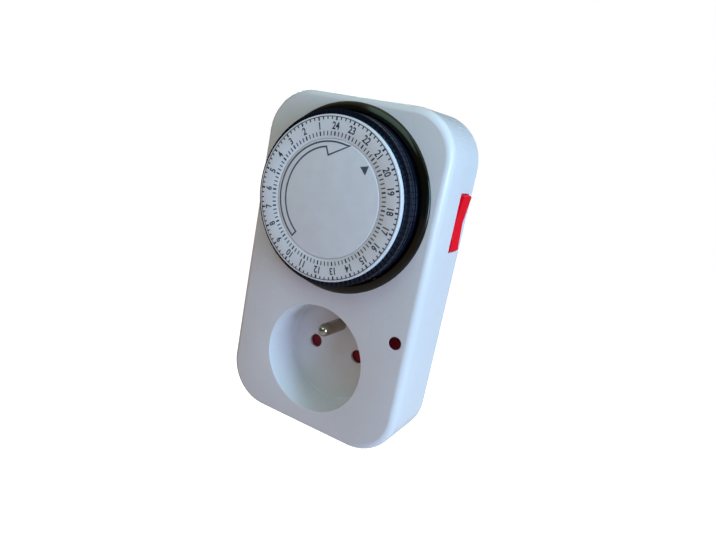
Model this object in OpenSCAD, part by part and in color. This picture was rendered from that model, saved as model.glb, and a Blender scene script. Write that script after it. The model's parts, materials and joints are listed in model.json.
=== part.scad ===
// Plug-in 24 hour timer switch with a pass-through earthed socket.
// Every module below is drawn in the case frame: x to the right, y back from the face of the case,
// z up from the middle of the face. in_place() moves it to the part's own frame, whose origin is
// the middle between the plug pins on the end of the plug body.

/* [Case] */
// Margin between the bezel and each side of the case
side_margin = 3.6; // [3.2:0.1:6]
// Margin between the bezel and the top of the case
top_margin = 1.85; // [1.4:0.05:4]
// Margin between the well and the bottom of the case
bottom_margin = 7.4; // [7:0.1:12]
// Web between the bezel and the well's wall
web = 4.35; // [4.2:0.05:8]
// Depth of the rear shell behind the joint
back_d = 4; // [3.6:0.2:6]
// Wall thickness of both shells
wall = 2; // [1.6:0.1:2.2]
// Radius of the corners seen from the front
corner_r = 16.4; // [14:0.2:18]
// Radius of the rounded front edge
edge_r = 3.2; // [2:0.2:5]
// Inset of the rear shell's back face
back_inset = 3.2; // [1:0.2:4]

/* [Socket] */
// Radius of the socket well
well_r = 19.8; // [19.5:0.1:20.2]
// Depth of the socket well
well_d = 16; // [15:0.5:16.5]
// Thickness of the well's floor
floor_t = 2.4; // [2:0.2:2.6]
// Depth of the pocket behind the floor in which the shutter's pads swing
pocket_d = 1.2; // [0.6:0.1:1.3]
// Distance between the two contacts
pin_pitch = 19; // [18.6:0.1:19.4]
// Radius of the holes for a plug's pins
hole_r = 2.6; // [2.5:0.05:2.8]
// Distance of the earth pin above the contacts
earth_rise = 10; // [9.6:0.2:10.4]
// Radius of the earth pin
earth_r = 2.4; // [2.2:0.05:2.4]
// Length of the earth pin out of the floor
earth_l = 14; // [12:0.5:15]

/* [Plug] */
// Radius of the round plug body
boss_r = 18.5; // [18.2:0.1:19]
// Length of the plug body behind the case
boss_l = 17; // [16:0.5:20]
// Thickness of the plug body's end
boss_end = 3; // [2.6:0.2:3.4]
// Radius of the plug pins
pin_r = 2.4; // [2:0.05:2.4]
// Length of the plug pins out of the end
pin_l = 19; // [18:0.5:19.5]

/* [Dial] */
// Number of tappets, one for each quarter of an hour
tappet_n = 96; // [96:96:96]
// Outer radius of the tappets
tappet_r = 29; // [28.8:0.1:29.2]
// Travel of a tappet
tappet_travel = 2.2; // [1.6:0.1:2.4]
// How far the tappets reach out past the number plate
tappet_reach = 1.9; // [1.6:0.1:2.2]
// Thickness of the number plate
plate_t = 1.7; // [1.6:0.1:2.2]
// Distance of the number plate's front from the face
dial_rise = 10.1; // [10:0.1:12]
// Radius of the still disc in the middle
disc_r = 19.3; // [17:0.1:19.6]
// Width of the bezel
bezel_w = 2.9; // [2.7:0.1:3.4]
// Teeth of the dial's inner ring gear
ring_teeth = 96; // [96:8:96]
// Teeth of the pinion that drives the dial
dial_pinion_teeth = 12; // [12:4:12]

/* [Movement] */
// Front of the movement's front plate, behind the face
plate_y = 5.2; // [5.2:0.1:5.4]
// Thickness of the movement's plates
sheet_t = 1.4; // [1.2:0.1:1.4]
// Gap between the movement's two plates
plate_gap = 10.4; // [10.4:0.1:10.8]
// Radius of the steel axles
axle_r = 0.75; // [0.6:0.05:0.8]
// Distance between the axles of the reduction train
axle_gap = 10.5; // [10.4:0.1:10.6]
// Thickness of a wheel's disc
disc_t = 0.8; // [0.6:0.1:0.9]
// Radius of the motor's cup
motor_r = 14; // [13:0.2:14.4]
// Depth of the motor's cup
motor_d = 7.4; // [7:0.1:7.6]
// How far the motor reaches into the rear shell
motor_reach = 1.2; // [1:0.1:1.6]

/* [Switch] */
// Radius of the indicator lens
lens_r = 2.15; // [1.8:0.05:2.6]
// Distance of the lens from the side of the case
lens_edge = 6; // [5.6:0.1:6.4]
// Height of the lens above the socket centre
lens_rise = 16.4; // [16:0.2:20]
// Length of the rocker
rocker_l = 20; // [18:0.5:21]
// Width of the rocker
rocker_w = 7.6; // [6.6:0.2:7.8]
// How far the rocker's middle lies below the dial centre
rocker_drop = 0.35; // [0:0.05:2]
// Distance of the rocker's middle from the joint of the shells
rocker_edge = 6.2; // [6:0.1:6.6]
// Angle between the rocker's two positions
rocker_turn = 6; // [4:0.5:6]

/* [Hidden] */
GROUPS = 12;
function tappet_name(k) = str("tappets_", k < 10 ? "0" : "", k);

run = 0.05;      // clearance of a running or a close fit
gap = 0.3;       // clearance between parts that pass each other
over = 1;        // how far a cut runs past what it cuts
$fn = 64;        // above 12, circles are true circles in the solids
round_fn = 40;   // facets of the hulled outer skin

plate_r = tappet_r - tappet_reach;
bezel_in = tappet_r + 0.5;
bezel_r = bezel_in + bezel_w;
case_w = 2 * (bezel_r + side_margin);
case_h = top_margin + 2 * bezel_r + web + wall + 2 * well_r + bottom_margin;
dial_z = case_h / 2 - top_margin - bezel_r;        // heights above the middle of the face
socket_z = bottom_margin + well_r - case_h / 2;
back_plate_y = plate_y + sheet_t + plate_gap;
motor_y = back_plate_y + sheet_t;
shell_d = motor_y + motor_d - motor_reach;         // face to joint
case_d = shell_d + back_d;
back_in = case_d - wall;             // inner face of the rear shell
boss_y = case_d + boss_l;            // end face of the plug body
floor_y = well_d + floor_t;          // back of the well's floor
boss_bore = boss_r - wall;

drum_front = plate_t - dial_rise;    // front of the drum, under the number plate
tappet_pitch = 360 / tappet_n;
fin_root = tappet_r - 2.6;            // radius at which the slots for the tappets begin
fin_r = tappet_r - 0.5;
fin_w = 0.5;
tappet_y0 = drum_front + 0.4;
tappet_l = 9.5;
drum_back = 3.6;
fin_end = tappet_y0 + tappet_l - 0.5; // the tappets stand proud of the slots when pressed
collar_r = bezel_r - 1.6;
post_r = 4;
hub_r = 5.6;
stem_r = 2.4;
ring_pitch_r = fin_root - 2.4;
gear_m = 2 * ring_pitch_r / ring_teeth;
pinion_pitch_r = gear_m * dial_pinion_teeth / 2;
ring_y0 = 0.8;
ring_t = 2.4;

// Train: teeth of each pinion and of the wheel that it drives, from the rotor to the clutch wheel.
PINION = [6, 9, 9, 10, 10, 10];
WHEEL = [60, 54, 54, 50, 50, 50];
arbor = [0, dial_z - ring_pitch_r + pinion_pitch_r];      // the dial pinion's arbor
axle_a = arbor + axle_gap * [cos(115), sin(115)];
axle_b = axle_a + axle_gap * [cos(20), sin(20)];
rotor_gap = 9.9;
motor = axle_a + rotor_gap * [cos(100), sin(100)];
level = 1.4;                          // pitch of the train's wheels along the axles
clutch_y = plate_y + sheet_t + 0.8;
rotor_shaft_r = 0.5;

carrier_r = boss_bore - gap;
carrier_y = floor_y + 3.4;
carrier_end = carrier_y + 13.4;
sleeve_t = 0.6;
bar_t = 0.8;
bar_y = carrier_end + 0.4;
pin_head_y = boss_y - boss_end - 1.6;
neck_r = pin_r - 0.3;                 // the pins are necked where the plug's end holds them
earth_stem_r = earth_r - 0.4;
pad_r = 3.3;
shutter_y = floor_y + gap;
shutter_t = 1.8;
shutter_swing = 40;
strap_y = floor_y + 2.4;

case_x = case_w / 2;
boss_hole_x = case_x - 9;
boss_hole_z = case_h / 2 - 9;
screw_r = 1.4;
screw_boss_r = 3.2;

rocker_x = case_x - 4;                // the rocker's pivot
rocker_y = shell_d - rocker_edge;
rocker_z = dial_z - rocker_drop;
rocker_side = rocker_w / 2;
riser_x = pin_pitch / 2 + 4.3;        // strips run here, beside the flat of the carrier
lever_x = riser_x + bar_t + 5;
slider_x = lever_x + 4.4;
tail_l = rocker_x - slider_x;
lens_x = case_x - lens_edge;
lens_z = socket_z + lens_rise;

lever_w = 3;
lever_z = dial_z - tappet_r + 0.25;
tip_drop = sqrt(pow(tappet_r - 0.6, 2) - pow(lever_x, 2));
lever_y = 9;
lever_pin_r = 0.75;
press_y = lever_y + 6;                // where the follower presses on the blade
tip_y = drum_front + 0.4 + tappet_l + tappet_travel + 0.4;
blade_root_y = strap_y + 2.8;
root_end = blade_root_y + 1;
blade_z = lever_z - 3;
blade_t = 0.3;
contact_y = lever_y + 3.8;
blade_front_y = contact_y - 1.2;
bar_z = blade_z - 3.2;

// Places of the screws that hold the movement, [right, up] from the middle of the face.
MOVEMENT_SCREWS = [[0, dial_z - bezel_r - 1.6], [-(case_x - 5.5), dial_z + 16.2],
                   [case_x - 5.5, dial_z + 16.2]];
movement_boss_r = 2.2;
plate_left = 6 - case_x;
plate_right = slider_x - 8;
plate_low = dial_z - 24.75;
plate_top = dial_z + 21.2;
PILLARS = [[plate_left + 3, plate_low + 3], [plate_left + 6, plate_top - 4],
           [slider_x - 3, plate_top - 4], [plate_right - 3, plate_low + 2.5]];

tail_z = rocker_z + tail_l * sin(rocker_turn / 2);
slider_drop = 2 * tail_l * sin(rocker_turn / 2);
slider_foot = blade_z + blade_t / 2 + 0.15 + slider_drop;
post_z = bar_z - bar_t;               // top of the post that carries the contacts
bridge_y = bar_y + 1;

// ---------- helpers ----------

module in_place() translate([0, -boss_y, -socket_z]) children();

// A flat shape seen from the front, made thick from depth y0 to depth y1.
module slab(y0, y1) translate([0, y1, 0]) rotate([90, 0, 0]) linear_extrude(y1 - y0) children();

// A round bar along y at place [x, z].
module bar(at, r, y0, y1) translate([at[0], y0, at[1]]) rotate([-90, 0, 0]) cylinder(r = r, h = y1 - y0);

// A tube along y at place [x, z].
module tube(at, r1, r0, y0, y1) difference() {
    bar(at, r1, y0, y1);
    bar(at, r0, y0 - over, y1 + over);
}

// A turned body about y from [radius, depth] points.
module turned(at, points)
    translate([at[0], 0, at[1]]) rotate([90, 0, 0]) rotate_extrude()
        polygon([for (p = points) [p[0], -p[1]]]);

module box(lo, hi) translate(lo) cube(hi - lo);

module rounded(w, h, r) {
    square([w - 2 * r, h], center = true);
    square([w, h - 2 * r], center = true);
    for (sx = [-1, 1], sz = [-1, 1]) translate([sx * (w / 2 - r), sz * (h / 2 - r)]) circle(r);
}

function polar(r, a) = [r * cos(a), r * sin(a)];

// Outline of a toothed wheel: root radius, tip radius, teeth, turn, tooth's width as a share of the pitch.
function toothed(r0, r1, n, turn, w0, w1) = [
    for (k = [0:n - 1], c = [[r0, -w0], [r1, -w1], [r1, w1], [r0, w0]])
        polar(c[0], turn + (k + c[1] / 2) * 360 / n)];

// Turn of a wheel of n2 teeth that meshes with one of n1 teeth turned by t1; the other lies in direction a.
function mesh_turn(t1, n1, a, n2) =
    let (p = (a - t1) * n1 / 360) a + 180 - (0.5 - (p - floor(p))) * 360 / n2;

function gear_module(k) = 2 * (k == 0 ? rotor_gap : axle_gap) / (PINION[k] + WHEEL[k]);

module spur(at, n, m, turn, y0, y1)
    slab(y0, y1) translate(at)
        polygon(toothed(m * n / 2 - 1.05 * m, m * n / 2 + 0.75 * m, n, turn, 0.62, 0.2));

// ---------- case ----------

// The case's outline, set in by that much all round.
module inset_outline(by) rounded(case_w - 2 * by, case_h - 2 * by, corner_r - by);

module outer_skin() hull() for (sx = [-1, 1], sz = [-1, 1])
    turned([sx * (case_x - corner_r), sz * (case_h / 2 - corner_r)], concat(
        [[0, 0]],
        [for (a = [0:15:90]) [corner_r - edge_r * (1 - sin(a)), edge_r * (1 - cos(a))]],
        [[corner_r, shell_d], [0, shell_d]]), $fn = round_fn);

module case_screw_places() for (sx = [-1, 1], sz = [-1, 1])
    translate([sx * boss_hole_x, 0, sz * boss_hole_z]) children();

module movement_screw_places() for (p = MOVEMENT_SCREWS) translate([p[0], 0, p[1]]) children();

// The two pockets behind the well's floor in which the shutter's pads swing.
module shutter_pockets() for (s = [0, 180])
    slab(floor_y - pocket_d, floor_y + over) translate([0, socket_z]) polygon(concat(
        [for (a = [24:-8:-shutter_swing - 24]) polar(pin_pitch / 2 + pad_r + 0.4, s + a)],
        [for (a = [-shutter_swing - 24:8:24]) polar(pin_pitch / 2 - pad_r - 0.4, s + a)]));

module front_shell() color("white") difference() {
    union() {
        difference() {
            outer_skin();
            slab(wall, shell_d + over) inset_outline(wall);
        }
        bar([0, socket_z], well_r + wall, wall / 2, floor_y);
        bar([0, socket_z], 1.5, floor_y - over, floor_y + gap + shutter_t + 0.6);
        for (a = [-130, -50, 150])
            bar([0, socket_z] + polar(carrier_r - 1.3, a), 1.2, floor_y - over, carrier_y);
        case_screw_places() bar([0, 0], screw_boss_r, wall / 2, shell_d - 1);
        for (x = [lever_x - lever_w / 2 - 1.9, lever_x + lever_w / 2 + 1.9])
            box([x, wall / 2, lever_z - 2], [x + 1.6, lever_y + 2, lever_z + 2]);
        movement_screw_places() bar([0, 0], movement_boss_r, wall / 2, plate_y);
        box([lever_x - 3.8, wall / 2, post_z - 2.4], [lever_x + 3.8, root_end, post_z]);
        for (s = [-1, 1])
            box([lever_x + s * 3.1 - 0.7, blade_root_y - 2, post_z - 1],
                [lever_x + s * 3.1 + 0.7, root_end, blade_z + 1.3]);
        for (side = [-rocker_side - gap - 1.4, rocker_side + gap])
            box([rocker_x - 2, rocker_y + side, rocker_z - 3],
                [case_x - wall / 2, rocker_y + side + 1.4, rocker_z + 3]);
    }
    bar([0, socket_z], well_r, -over, well_d);
    turned([0, socket_z], [[0, -over], [well_r + over + 0.6, -over], [well_r, 0.6], [0, 0.6]]);
    for (s = [-1, 1]) bar([s * pin_pitch / 2, socket_z], hole_r, well_d - over, floor_y + over);
    shutter_pockets();
    bar([0, socket_z + earth_rise], earth_stem_r + run, well_d - over, floor_y + over);
    bar([0, dial_z], collar_r + run, -over, wall + over);
    bar([lens_x, lens_z], lens_r + run, -over, wall + over);
    bar([lens_x, lens_z], lens_r + 0.6, wall / 2, wall + over);
    case_screw_places() bar([0, 0], screw_r - 0.2, shell_d - 12, shell_d);
    movement_screw_places() bar([0, 0], 0.9, wall, plate_y + over);
    cross_bar([blade_root_y, blade_z], 0.65, lever_x - 5, lever_x + 5);
    box([case_x - wall - over, rocker_y - rocker_side - gap / 2, rocker_z - rocker_l / 2 - gap],
        [case_x + over, rocker_y + rocker_side + gap / 2, rocker_z + rocker_l / 2 + gap]);
    cross_bar([lever_y, lever_z], lever_pin_r, lever_x - 5, lever_x + 6);
    bar([rocker_x, rocker_z], 1, rocker_y - rocker_side - 1.4, rocker_y + rocker_side + 1.4);
}

module rear_shell() color("whitesmoke") difference() {
    union() {
        difference() {
            hull() {
                slab(shell_d, shell_d + 0.8) inset_outline(0.2, $fn = round_fn);
                slab(case_d - 0.8, case_d - 0.3) inset_outline(back_inset - 0.5, $fn = round_fn);
                slab(case_d - 0.1, case_d) inset_outline(back_inset, $fn = round_fn);
            }
            slab(shell_d - over, back_in) inset_outline(2 * wall - 0.5);
        }
        difference() {
            slab(shell_d - 1.8, shell_d + 0.5) inset_outline(wall + gap / 2);
            slab(shell_d - 1.8 - over, back_in) inset_outline(2 * wall - 0.5);
            case_screw_places() bar([0, 0], screw_boss_r + gap, shell_d - 3, shell_d - 0.7);
            box([rocker_x - 3, shell_d - 3, rocker_z - 4], [case_x, shell_d, rocker_z + 4]);
        }
        bar([0, socket_z], boss_r, back_in, boss_y);
        case_screw_places() bar([0, 0], screw_boss_r, shell_d - 0.8, case_d - 0.3);
        box([slider_x - 3.2, rocker_y - 2.8, 3], [slider_x + 3.2, back_in + 0.5, 11]);
        bar([lens_x, lens_z - 0.9], 2.1, wall + 18, back_in + 0.5);
    }
    bar([0, socket_z], boss_bore, back_in - over, carrier_end);
    bar([0, socket_z], boss_bore - 1.5, back_in, carrier_end + 1.2);
    bar([0, socket_z], boss_bore, carrier_end + 1.2, boss_y - boss_end);
    box([slider_x - 2.15, rocker_y - 1.55, 0], [slider_x + 2.15, rocker_y + 1.55, 14]);
    bar([lens_x, lens_z - 0.9], 1.1, wall, wall + 20.1);
    box([riser_x - run, back_in, socket_z - 3 - run],
        [riser_x + bar_t + run, boss_y - boss_end, socket_z + 3 + run]);
    for (s = [-1, 1]) bar([s * pin_pitch / 2, socket_z], neck_r + run, back_in, boss_y + over);
    bar([0, socket_z + earth_rise], earth_r + 0.3, back_in, boss_y + over);
    for (s = [-1, 1]) box([-3.2, case_d - wall - over, socket_z + s * (boss_r - 1) - 1.2],
                          [3.2, boss_y + over, socket_z + s * (boss_r - 1) + 1.2]);
    case_screw_places() {
        bar([0, 0], screw_r + 0.2, shell_d - over * 2, case_d + over);
        bar([0, 0], 2.6, case_d - 1.8, case_d + over);
    }
}

module case_screws() color("silver") case_screw_places() difference() {
    union() {
        bar([0, 0], screw_r - 0.2 - run, shell_d - 9, case_d - 1);
        bar([0, 0], 2.4, case_d - 1.75, case_d - 0.4);
    }
    for (a = [0, 90]) translate([0, case_d, 0]) rotate([0, a, 0]) cube([3, 2.2, 0.7], center = true);
}

// ---------- dial ----------

module dial_bezel() color("black") turned([0, dial_z], [
    [bezel_in, wall], [bezel_in, -1.1], [bezel_in + 0.2, -1.35], [bezel_in + 0.6, -1.4],
    [bezel_r - 0.3, -0.5], [bezel_r, -0.2], [bezel_r, 0], [collar_r, 0], [collar_r, wall]]);

module centre_disc() color("lightgray") union() {
    turned([0, dial_z], [[0, -dial_rise], [disc_r - 0.3, -dial_rise], [disc_r, -dial_rise + 0.3],
        [disc_r, drum_front - 0.3], [0, drum_front - 0.3]]);
    bar([0, dial_z], stem_r, drum_front - 0.4, drum_front + 8);
}

module number_plate() color("gainsboro") turned([0, dial_z], [
    [disc_r + 0.25, drum_front], [disc_r + 0.25, -dial_rise], [plate_r - 0.3, -dial_rise],
    [plate_r, -dial_rise + 0.3], [plate_r, drum_front]]);

module dial_drum() color("black") difference() {
    union() {
        bar([0, dial_z], fin_root - 0.2, drum_front, drum_back);
        slab(drum_front, fin_end) translate([0, dial_z])
            polygon(toothed(fin_root - 0.1, fin_r, tappet_n, tappet_pitch / 2,
                            fin_w / (2 * PI * fin_root / tappet_n), fin_w / (2 * PI * fin_r / tappet_n)));
    }
    turned([0, dial_z], [[hub_r, drum_front + 1.8], [fin_root - 1.8, drum_front + 1.8],
        [fin_root - 1.8, ring_y0 - 0.4], [fin_root - 1.8, drum_back + over], [hub_r, drum_back + over]]);
    bar([0, dial_z], post_r + run, drum_front - over, drum_back + over);
}

// The drum's inner ring gear, moulded with it.
module drum_with_ring() color("black") union() {
    dial_drum();
    slab(ring_y0, ring_y0 + ring_t) translate([0, dial_z]) difference() {
        circle(fin_root - 1.4);
        polygon(toothed(ring_pitch_r - 0.8 * gear_m, ring_pitch_r + 1.05 * gear_m, ring_teeth, ring_turn,
                        0.8, 0.38));
    }
}

pinion_turn = 0;
// The gaps of the ring are the teeth of this outline: one of them lies over a tooth of the pinion.
ring_turn = -90;

module tappet_group(k) color("black") for (i = [0:tappet_n / GROUPS - 1]) {
    a = ((k - 1) * tappet_n / GROUPS + i) * tappet_pitch;
    half = (1 - fin_w / (2 * PI * fin_root / tappet_n)) * tappet_pitch / 2;
    slot = half - 0.12 * 180 / PI / fin_root;
    slab(tappet_y0, tappet_y0 + tappet_l) translate([0, dial_z]) polygon([
        polar(fin_root + 0.1, a - slot), polar(fin_r + 0.1, a - slot * 1.03), polar(tappet_r, a - slot),
        polar(tappet_r, a + slot), polar(fin_r + 0.1, a + slot * 1.03), polar(fin_root + 0.1, a + slot)]);
}

// ---------- movement ----------

module plate_outline() {
    translate([plate_left, plate_low]) square([plate_right - plate_left, plate_top - plate_low]);
    translate([0, plate_top - 17]) square([slider_x, 17]);
}

// The front plate also has an ear at each of its screws.
module front_outline() {
    plate_outline();
    for (p = MOVEMENT_SCREWS) {
        translate(p) circle(movement_boss_r + 0.2);
        if (p[0] == 0) translate([-movement_boss_r - 0.2, p[1]])
            square([2 * movement_boss_r + 0.4, plate_low + 1 - p[1]]);
        else translate([min(p[0], 0), p[1] - movement_boss_r - 0.2])
            square([abs(p[0]), 2 * movement_boss_r + 0.4]);
    }
}

module movement_plate() color("silver") difference() {
    union() {
        slab(plate_y, plate_y + sheet_t) front_outline();
        bar([0, dial_z], post_r, drum_front + 0.2, plate_y + 0.1);
    }
    bar([0, dial_z], stem_r + run, drum_front - over, drum_front + 9);
    bar(arbor, 1 + run, plate_y - over, plate_y + sheet_t + over);
    for (p = [axle_a, axle_b]) bar(p, axle_r, plate_y - over, plate_y + sheet_t + over);
    for (p = PILLARS) bar(p, 1, plate_y - over, plate_y + sheet_t + over);
    movement_screw_places() bar([0, 0], 1.1, plate_y - over, plate_y + sheet_t + over);
}

module movement_screws() color("silver") movement_screw_places() difference() {
    union() {
        bar([0, 0], 0.9 - run, wall + 0.5, plate_y + sheet_t + 0.2);
        bar([0, 0], 2, plate_y + sheet_t, plate_y + sheet_t + 1.3);
    }
    translate([0, plate_y + sheet_t + 1.3, 0]) cube([5, 1.2, 0.6], center = true);
}

module back_plate() color("silver") difference() {
    slab(back_plate_y, back_plate_y + sheet_t) plate_outline();
    bar(arbor, 0.6 + run, back_plate_y - over, motor_y + over);
    bar(motor, rotor_shaft_r + run, back_plate_y - over, motor_y + over);
    for (p = [axle_a, axle_b]) bar(p, axle_r, back_plate_y - over, motor_y + over);
    for (p = PILLARS) bar(p, 1, back_plate_y - over, motor_y + over);
}

module plate_pillars() color("goldenrod") for (p = PILLARS) {
    bar(p, 2, plate_y + sheet_t, back_plate_y);
    bar(p, 1 - run, plate_y + 0.1, motor_y + 0.6);
}

module wheel_axles() color("silver") for (p = [axle_a, axle_b]) bar(p, axle_r - run / 2, plate_y, motor_y);

// Turns of the train's wheels, worked out from the rotor so that every pair is in mesh.
dir_ma = 100 + 180;                  // from the motor to axle a
dir_ab = 20;
dir_ba = 20 + 180;
dir_a_arbor = 115 + 180;
turn_0 = 0;
turn_1 = mesh_turn(turn_0, PINION[0], dir_ma, WHEEL[0]);
turn_2 = mesh_turn(turn_1, PINION[1], dir_ab, WHEEL[1]);
turn_3 = mesh_turn(turn_2, PINION[2], dir_ba, WHEEL[2]);
turn_4 = mesh_turn(turn_3, PINION[3], dir_ab, WHEEL[3]);
turn_5 = mesh_turn(turn_4, PINION[4], dir_ba, WHEEL[4]);
turn_6 = mesh_turn(turn_5, PINION[5], dir_a_arbor, WHEEL[5]);

// Depth of the disc of train wheel k, counted from the rotor's end.
function wheel_y(k) = clutch_y + 0.6 + level * (5 - k) + 1;

module train_wheel(k, at, turn) color("ivory") difference() {
    union() {
        spur(at, WHEEL[k - 1], gear_module(k - 1), turn, wheel_y(k), wheel_y(k) + disc_t);
        spur(at, PINION[k], gear_module(k), turn, wheel_y(k) - level - 0.2, wheel_y(k) + 0.1);
        bar(at, axle_r + 0.25, wheel_y(k) - level - 0.2, wheel_y(k) + disc_t);
    }
    bar(at, axle_r + run, clutch_y - 2, back_plate_y);
}

module dial_pinion() color("ivory") union() {
    spur(arbor, dial_pinion_teeth, gear_m, pinion_turn, ring_y0, ring_y0 + ring_t);
    bar(arbor, 1, ring_y0, clutch_y + 1.9);
    bar(arbor, 3.4, clutch_y - 0.55, clutch_y - 0.1);
    bar(arbor, 0.6, clutch_y + 1.8, motor_y);
}

module clutch_wheel() color("ivory") difference() {
    spur(arbor, WHEEL[5], gear_module(5), turn_6, clutch_y, clutch_y + disc_t);
    bar(arbor, 1 + run, clutch_y - over, clutch_y + 2);
}

module clutch_spring() color("goldenrod")
    tube(arbor, 2.4, 1 + run, clutch_y + disc_t + 0.05, clutch_y + disc_t + 0.4);

module rotor() color("dimgray") union() {
    bar(motor, 5.4, motor_y + 1.2, motor_y + motor_d - 1.4);
    bar(motor, rotor_shaft_r, wheel_y(1) - 0.3, motor_y + motor_d - 0.5);
    spur(motor, PINION[0], gear_module(0), turn_0, wheel_y(1) - 0.3, wheel_y(1) + 1.1);
}

module motor_cup() color("silver") difference() {
    bar(motor, motor_r, motor_y, motor_y + motor_d);
    bar(motor, motor_r - 0.8, motor_y + 0.8, motor_y + motor_d + over);
    bar(motor, 1.2, motor_y - over, motor_y + 2);
}

module motor_bobbin() color("khaki") difference() {
    bar(motor, motor_r - 0.9, motor_y + 0.9, motor_y + motor_d - 0.9);
    bar(motor, 7, motor_y, motor_y + motor_d);
    turned(motor, [[7.8, motor_y + 1.6], [motor_r, motor_y + 1.6], [motor_r, motor_y + motor_d - 1.6],
        [7.8, motor_y + motor_d - 1.6]]);
}

module motor_coil() color("chocolate") turned(motor, [
    [7.85, motor_y + 1.65], [motor_r - 1.4, motor_y + 1.65],
    [motor_r - 1.4, motor_y + motor_d - 1.65], [7.85, motor_y + motor_d - 1.65]]);

module motor_pole_plate() color("silver") difference() {
    union() {
        bar(motor, motor_r - 0.85, motor_y + motor_d - 0.8, motor_y + motor_d);
        for (k = [0:11]) translate([motor[0], 0, motor[1]]) rotate([0, k * 30, 0])
            box([5.9, motor_y + 1.4, -0.8], [6.6, motor_y + motor_d - 0.4, 0.8]);
    }
    bar(motor, rotor_shaft_r + run, motor_y + motor_d - 2, motor_y + motor_d + over);
}

// ---------- switch ----------

// A bar along x at place [y, z].
module cross_bar(at, r, x0, x1)
    translate([x0, at[0], at[1]]) rotate([0, 90, 0]) cylinder(r = r, h = x1 - x0);

// A shape in the y-z plane, made thick along x.
module side_slab(x0, x1) translate([x0, 0, 0]) rotate([90, 0, 90]) linear_extrude(x1 - x0) children();

module follower_lever() color("ivory") difference() {
    union() {
        cross_bar([lever_y, lever_z], 1.7, lever_x - lever_w / 2, lever_x + lever_w / 2);
        side_slab(lever_x - lever_w / 2, lever_x + lever_w / 2) polygon([
            [lever_y - 1.6, lever_z], [tip_y + 2.4, dial_z - tip_drop], [tip_y, dial_z - tip_drop + 0.2],
            [tip_y, dial_z - tip_drop + 1.6], [tip_y + 3.4, dial_z - tip_drop + 1.6],
            [lever_y + 1.5, lever_z + 0.8]]);
        side_slab(lever_x - lever_w / 2, lever_x + lever_w / 2) polygon([
            [lever_y, lever_z - 1.4], [press_y + 0.4, lever_z - 2.4], [press_y + 0.4, lever_z - 1.2],
            [lever_y, lever_z + 1]]);
        cross_bar([press_y, blade_z + blade_t / 2 + 0.95], 0.8,
            lever_x - lever_w / 2, lever_x + lever_w / 2);
    }
    cross_bar([lever_y, lever_z], lever_pin_r + run, lever_x - 5, lever_x + 5);
}

module lever_pin() color("silver")
    cross_bar([lever_y, lever_z], lever_pin_r - 0.02,
        lever_x - lever_w / 2 - 1.9, lever_x + lever_w / 2 + 3.5);

module lever_spring() color("silver") difference() {
    cross_bar([lever_y, lever_z], 1.5, lever_x + lever_w / 2 + 0.2, lever_x + lever_w / 2 + 1.7);
    cross_bar([lever_y, lever_z], lever_pin_r + run, lever_x, lever_x + 6);
}

module moving_contact() color("goldenrod") union() {
    box([lever_x - 2, blade_front_y, blade_z - blade_t / 2],
        [lever_x + 2, blade_root_y, blade_z + blade_t / 2]);
    translate([lever_x, contact_y, blade_z - blade_t / 2 - 0.9]) cylinder(r = 1.2, h = 1);
    cross_bar([blade_root_y, blade_z], 1.1, lever_x - 2, lever_x + 2);
    cross_bar([blade_root_y, blade_z], 0.6, riser_x + bar_t, lever_x + 3.7);
}

module fixed_contact() color("goldenrod") union() {
    box([lever_x - 2, contact_y - 2, post_z], [lever_x + 2, strap_y - 0.8, bar_z]);
    translate([lever_x, contact_y, bar_z - 0.1])
        cylinder(r = 1.2, h = blade_z - blade_t / 2 - 0.95 - bar_z);
}

module override_slider() color("ivory") difference() {
    union() {
        box([slider_x - 2, rocker_y - 1.4, slider_foot], [slider_x + 2, rocker_y + 1.4, rocker_z + 2.8]);
        box([lever_x - 1.4, rocker_y - 1.4, slider_foot], [slider_x, rocker_y + 1.4, slider_foot + 2]);
    }
    box([slider_x - 0.9, rocker_y - 2, tail_z - 0.85], [slider_x + 3, rocker_y + 2, tail_z + 0.85]);
}

module rocker() color("red") translate([rocker_x, 0, rocker_z]) rotate([0, rocker_turn / 2, 0]) {
    difference() {
        union() {
            slab(rocker_y - rocker_side, rocker_y + rocker_side) polygon([
                [case_x - rocker_x + 0.05, 0], [case_x - rocker_x + 0.85, rocker_l / 2 - 0.4],
                [0.6, rocker_l / 2 - 0.7], [-1.6, 3.2], [-1.6, -3.2], [0.6, -rocker_l / 2 + 0.7],
                [case_x - rocker_x + 0.85, -rocker_l / 2 + 0.4]]);
            slab(rocker_y - 1.2, rocker_y + 1.2) union() {
                translate([-tail_l, -0.5]) square([tail_l, 1]);
                translate([-tail_l, 0]) circle(0.6);
            }
        }
        bar([0, 0], 1 + run, rocker_y - rocker_side - over, rocker_y + rocker_side + over);
    }
}

module rocker_pin() color("silver")
    bar([rocker_x, rocker_z], 1 - 0.02, rocker_y - rocker_side - 1.4, rocker_y + rocker_side + 1.4);

// ---------- lamp ----------

module lamp_lens() color("darkred") turned([lens_x, lens_z], [
    [0, -0.3], [lens_r * 0.6, -0.22], [lens_r - 0.15, -0.05], [lens_r, 0.1], [lens_r, wall / 2 + 0.05],
    [lens_r + 0.5, wall / 2 + 0.05], [lens_r + 0.5, wall + 0.8], [0, wall + 0.8]]);

module neon_lamp() color("orangered") union() {
    bar([lens_x, lens_z], 1.8, wall + 1.1, wall + 10);
    for (s = [-1, 1]) bar([lens_x, lens_z + s * 0.9], 0.25, wall + 9, wall + 15);
}

module lamp_resistor() color("tan") bar([lens_x, lens_z - 0.9], 1.05, wall + 15, wall + 20);

// ---------- socket and plug ----------

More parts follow.
